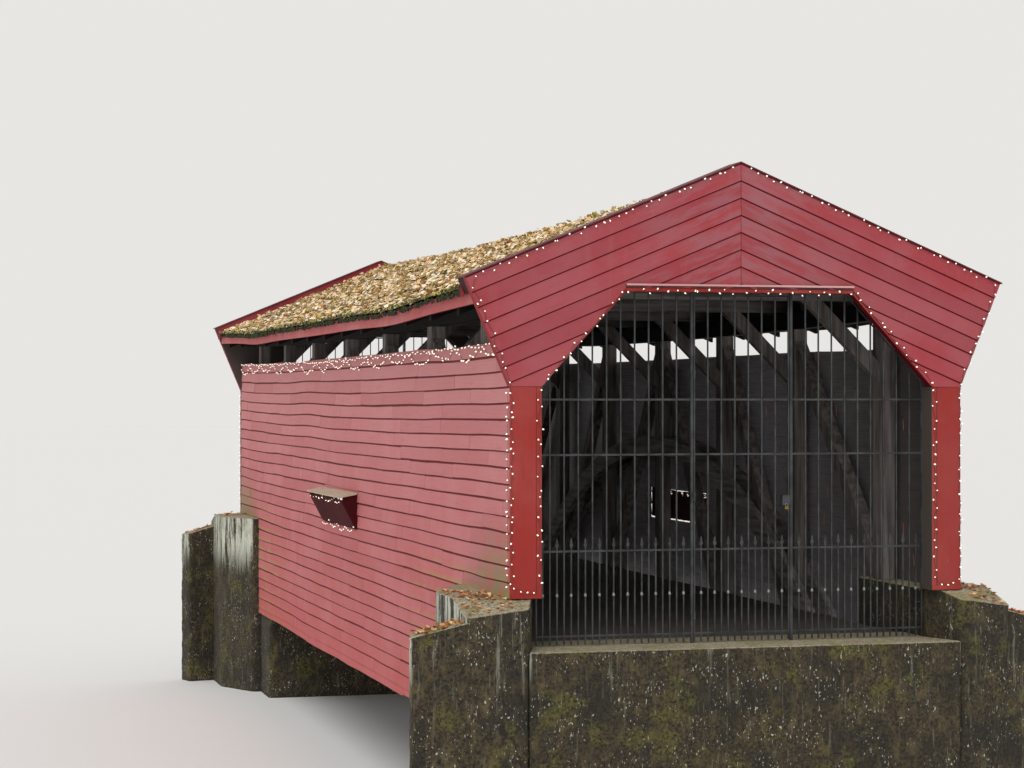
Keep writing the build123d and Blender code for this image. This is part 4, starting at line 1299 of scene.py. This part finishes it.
def lathe(places, profile, axis=(0, 0, 1)):
    """Closed eight-sided bodies at some places, from a profile of radius and height along an axis."""
    axis = unit(np.asarray(axis, float))
    side = unit(np.cross(axis, (0.31, 0.87, 0.39)))
    turn = np.arange(8)[:, None] * math.tau / 8
    round_about = np.cos(turn) * side + np.sin(turn) * np.cross(axis, side)
    rings = np.array([radius * round_about + height * axis for radius, height in profile])
    return swept(np.asarray(places, float)[:, None, None] + rings[None])


def bars_and_pickets(x0, x1):
    """Places of the even tall bars between x0 and x1, and of the pickets in the middle of their spaces."""
    spaces = max(1, round((x1 - x0) / BAR_SPACING) - 1) + 1
    step = (x1 - x0) / spaces
    return x0 + step * np.arange(1, spaces), x0 + (np.arange(spaces) + 0.5) * step


def foot_cones(spans):
    """A small zinc cone round each picket at the level of the pedestals' top."""
    x = np.concatenate([bars_and_pickets(*span)[1] for span in spans])
    return lathe(xyz(x, GATE_Y, BASE), CONE)


def rivets(spans):
    """Round rivet heads where the tall bars cross the rails, on both faces."""
    skins = []
    for span in spans:
        x = bars_and_pickets(*span)[0]
        for z in RAILS:
            for face in (-1, 1):
                skins.append(lathe(xyz(x, GATE_Y + face * BAR_HALF, z), RIVET, (0, face, 0)))
    return joined(*skins)


def shackle():
    """The bow of the padlock: a bar bent over half a circle with straight legs."""
    level = LOCK_Z + 0.034
    turn = np.linspace(0, math.pi, 9)
    x = LOCK_X + SHACKLE_HALF * np.concatenate([[1], np.cos(turn), [-1]])
    z = level + np.concatenate([[-0.022], SHACKLE_HALF * np.sin(turn), [-0.022]])
    return wire(xyz(x, LOCK_Y, z), 0.004)


width, depth, height = LOCK_BODY
lock_corner = (LOCK_X - width / 2, LOCK_Y - depth / 2, LOCK_Z - 0.020)
lock_body = planks(lock_corner, (width, 0, 0), (0, 0, height), (0, depth, 0), ease=0.004)
staple = lathe([(LOCK_X, LOCK_Y + 0.009, LOCK_Z + 0.045)], STAPLE, AHEAD)
for end, place in ENDS.items():
    body = end + "_gate"
    for name, part, material, rides_on in (
            ("_gate_cones", foot_cones(FIXED_SPANS), grey_zinc, "bridge"),
            ("_gate_rivets", rivets(FIXED_SPANS), iron, "bridge"),
            ("_leaf_cones", foot_cones(LEAF_SPAN), grey_zinc, body),
            ("_leaf_rivets", joined(rivets(LEAF_SPAN), staple), iron, body),
            ("_padlock", lock_body, brass, body),
            ("_padlock_bow", shackle(), grey_zinc, body)):
        make_piece(end + name, place(part), material, rides_on, smooth=name != "_padlock")

# The construction's own pieces take their finishes
# On the moulding the dark cap paint, below the pale strip, is a painted shadow line.
END_FINISHES = {"portal_posts": post_paint, "portal_gable": post_paint, "portal_hood": hood_paint,
                "portal_moulding": cap_paint_and_painted_shadow, "portal_cap": cap_paint_and_painted_shadow, "gate_left_panel": iron,
                "gate_right_panel": iron, "gate_posts": iron, "gate_leaf": iron}
TIMBER_GRAIN = {"bearing_blocks": "y", "bottom_chords": "y", "truss_posts": "z", "truss_braces": "z",
                "knee_braces": "z", "floor_beams": "x", "floor_stringers": "y"}
ROOF_GRAIN = {"top_chords": "y", "tie_beams": "x", "rafters": "x"}
finishes = {f"{end}_{name}": material for name, material in END_FINISHES.items() for end in ENDS}
finishes.update({name: timber[axis] for name, axis in TIMBER_GRAIN.items()})
finishes.update({name: roof_timber[axis] for name, axis in ROOF_GRAIN.items()})
finishes.update({side + "_arch_ribs": lit_arch_timber for side in ("left", "right")})
for name, material in finishes.items():
    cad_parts[name].data.materials.clear()
    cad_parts[name].data.materials.append(material)


# Floor, light and camera
def stage_floor():
    """A pale floor that reaches far out of view."""
    reach = 400
    corners = [(-reach, -reach, 0), (reach, -reach, 0), (reach, reach, 0), (-reach, reach, 0)]
    mesh = bpy.data.meshes.new("studio_floor")
    mesh.from_pydata(corners, [], [(0, 1, 2, 3)])
    coat = Coat("pale_studio_floor")
    coat.colour = "#eae9e6"
    mesh.materials.append(coat.finish(0.9))
    floor = bpy.data.objects.new("studio_floor", mesh)
    bpy.context.scene.collection.objects.link(floor)


def studio_light():
    """An even pale dome, a wide soft sun high on the front left, and a weak low one that reaches inside."""
    world = bpy.data.worlds.new("soft_dome")
    bpy.context.scene.world = world
    world.use_nodes = True
    tree = world.node_tree
    tree.nodes.clear()
    rays = add(tree, "LightPath").outputs
    seen = add(tree, "Math", {0: rays["Is Camera Ray"], 1: rays["Is Glossy Ray"]}, operation="MAXIMUM")
    seen = add(tree, "Math", {0: seen, 1: rays["Is Transmission Ray"]}, operation="MAXIMUM")
    dome = add(tree, "Background", {"Color": "#ffffff", "Strength": 0.68})
    shown = add(tree, "Background", {"Color": "#e7e6e3", "Strength": 1.0})
    add(tree, "OutputWorld", {"Surface": add(tree, "MixShader", {0: seen, 1: dome, 2: shown})})
    for name, energy, tilt, turn in (("soft_sun", 1.12, 42, -38), ("low_fill", 0.38, 86, -20)):
        lamp = bpy.data.lights.new(name, "SUN")
        lamp.energy = energy
        lamp.angle = math.radians(35)
        sun = bpy.data.objects.new(name, lamp)
        sun.rotation_euler = (math.radians(tilt), 0, math.radians(turn))
        bpy.context.scene.collection.objects.link(sun)


def photo_camera():
    """25.7 m before the near portal, 9.4 m left of the road's middle and 2.2 m above the pedestals' tops."""
    focal_pixels = 2400
    image_width = 1024
    camera = bpy.data.cameras.new("camera")
    camera.sensor_width = 36
    camera.lens = camera.sensor_width * focal_pixels / image_width
    camera.clip_end = 1000
    stand = bpy.data.objects.new("camera", camera)
    stand.location = (-9.394, -36.005, 5.429)
    stand.rotation_euler = (math.pi / 2 + 0.0056, 0, -math.radians(14.67))
    bpy.context.scene.collection.objects.link(stand)
    bpy.context.scene.camera = stand


stage_floor()
studio_light()
photo_camera()
bpy.context.scene.view_settings.view_transform = "Standard"
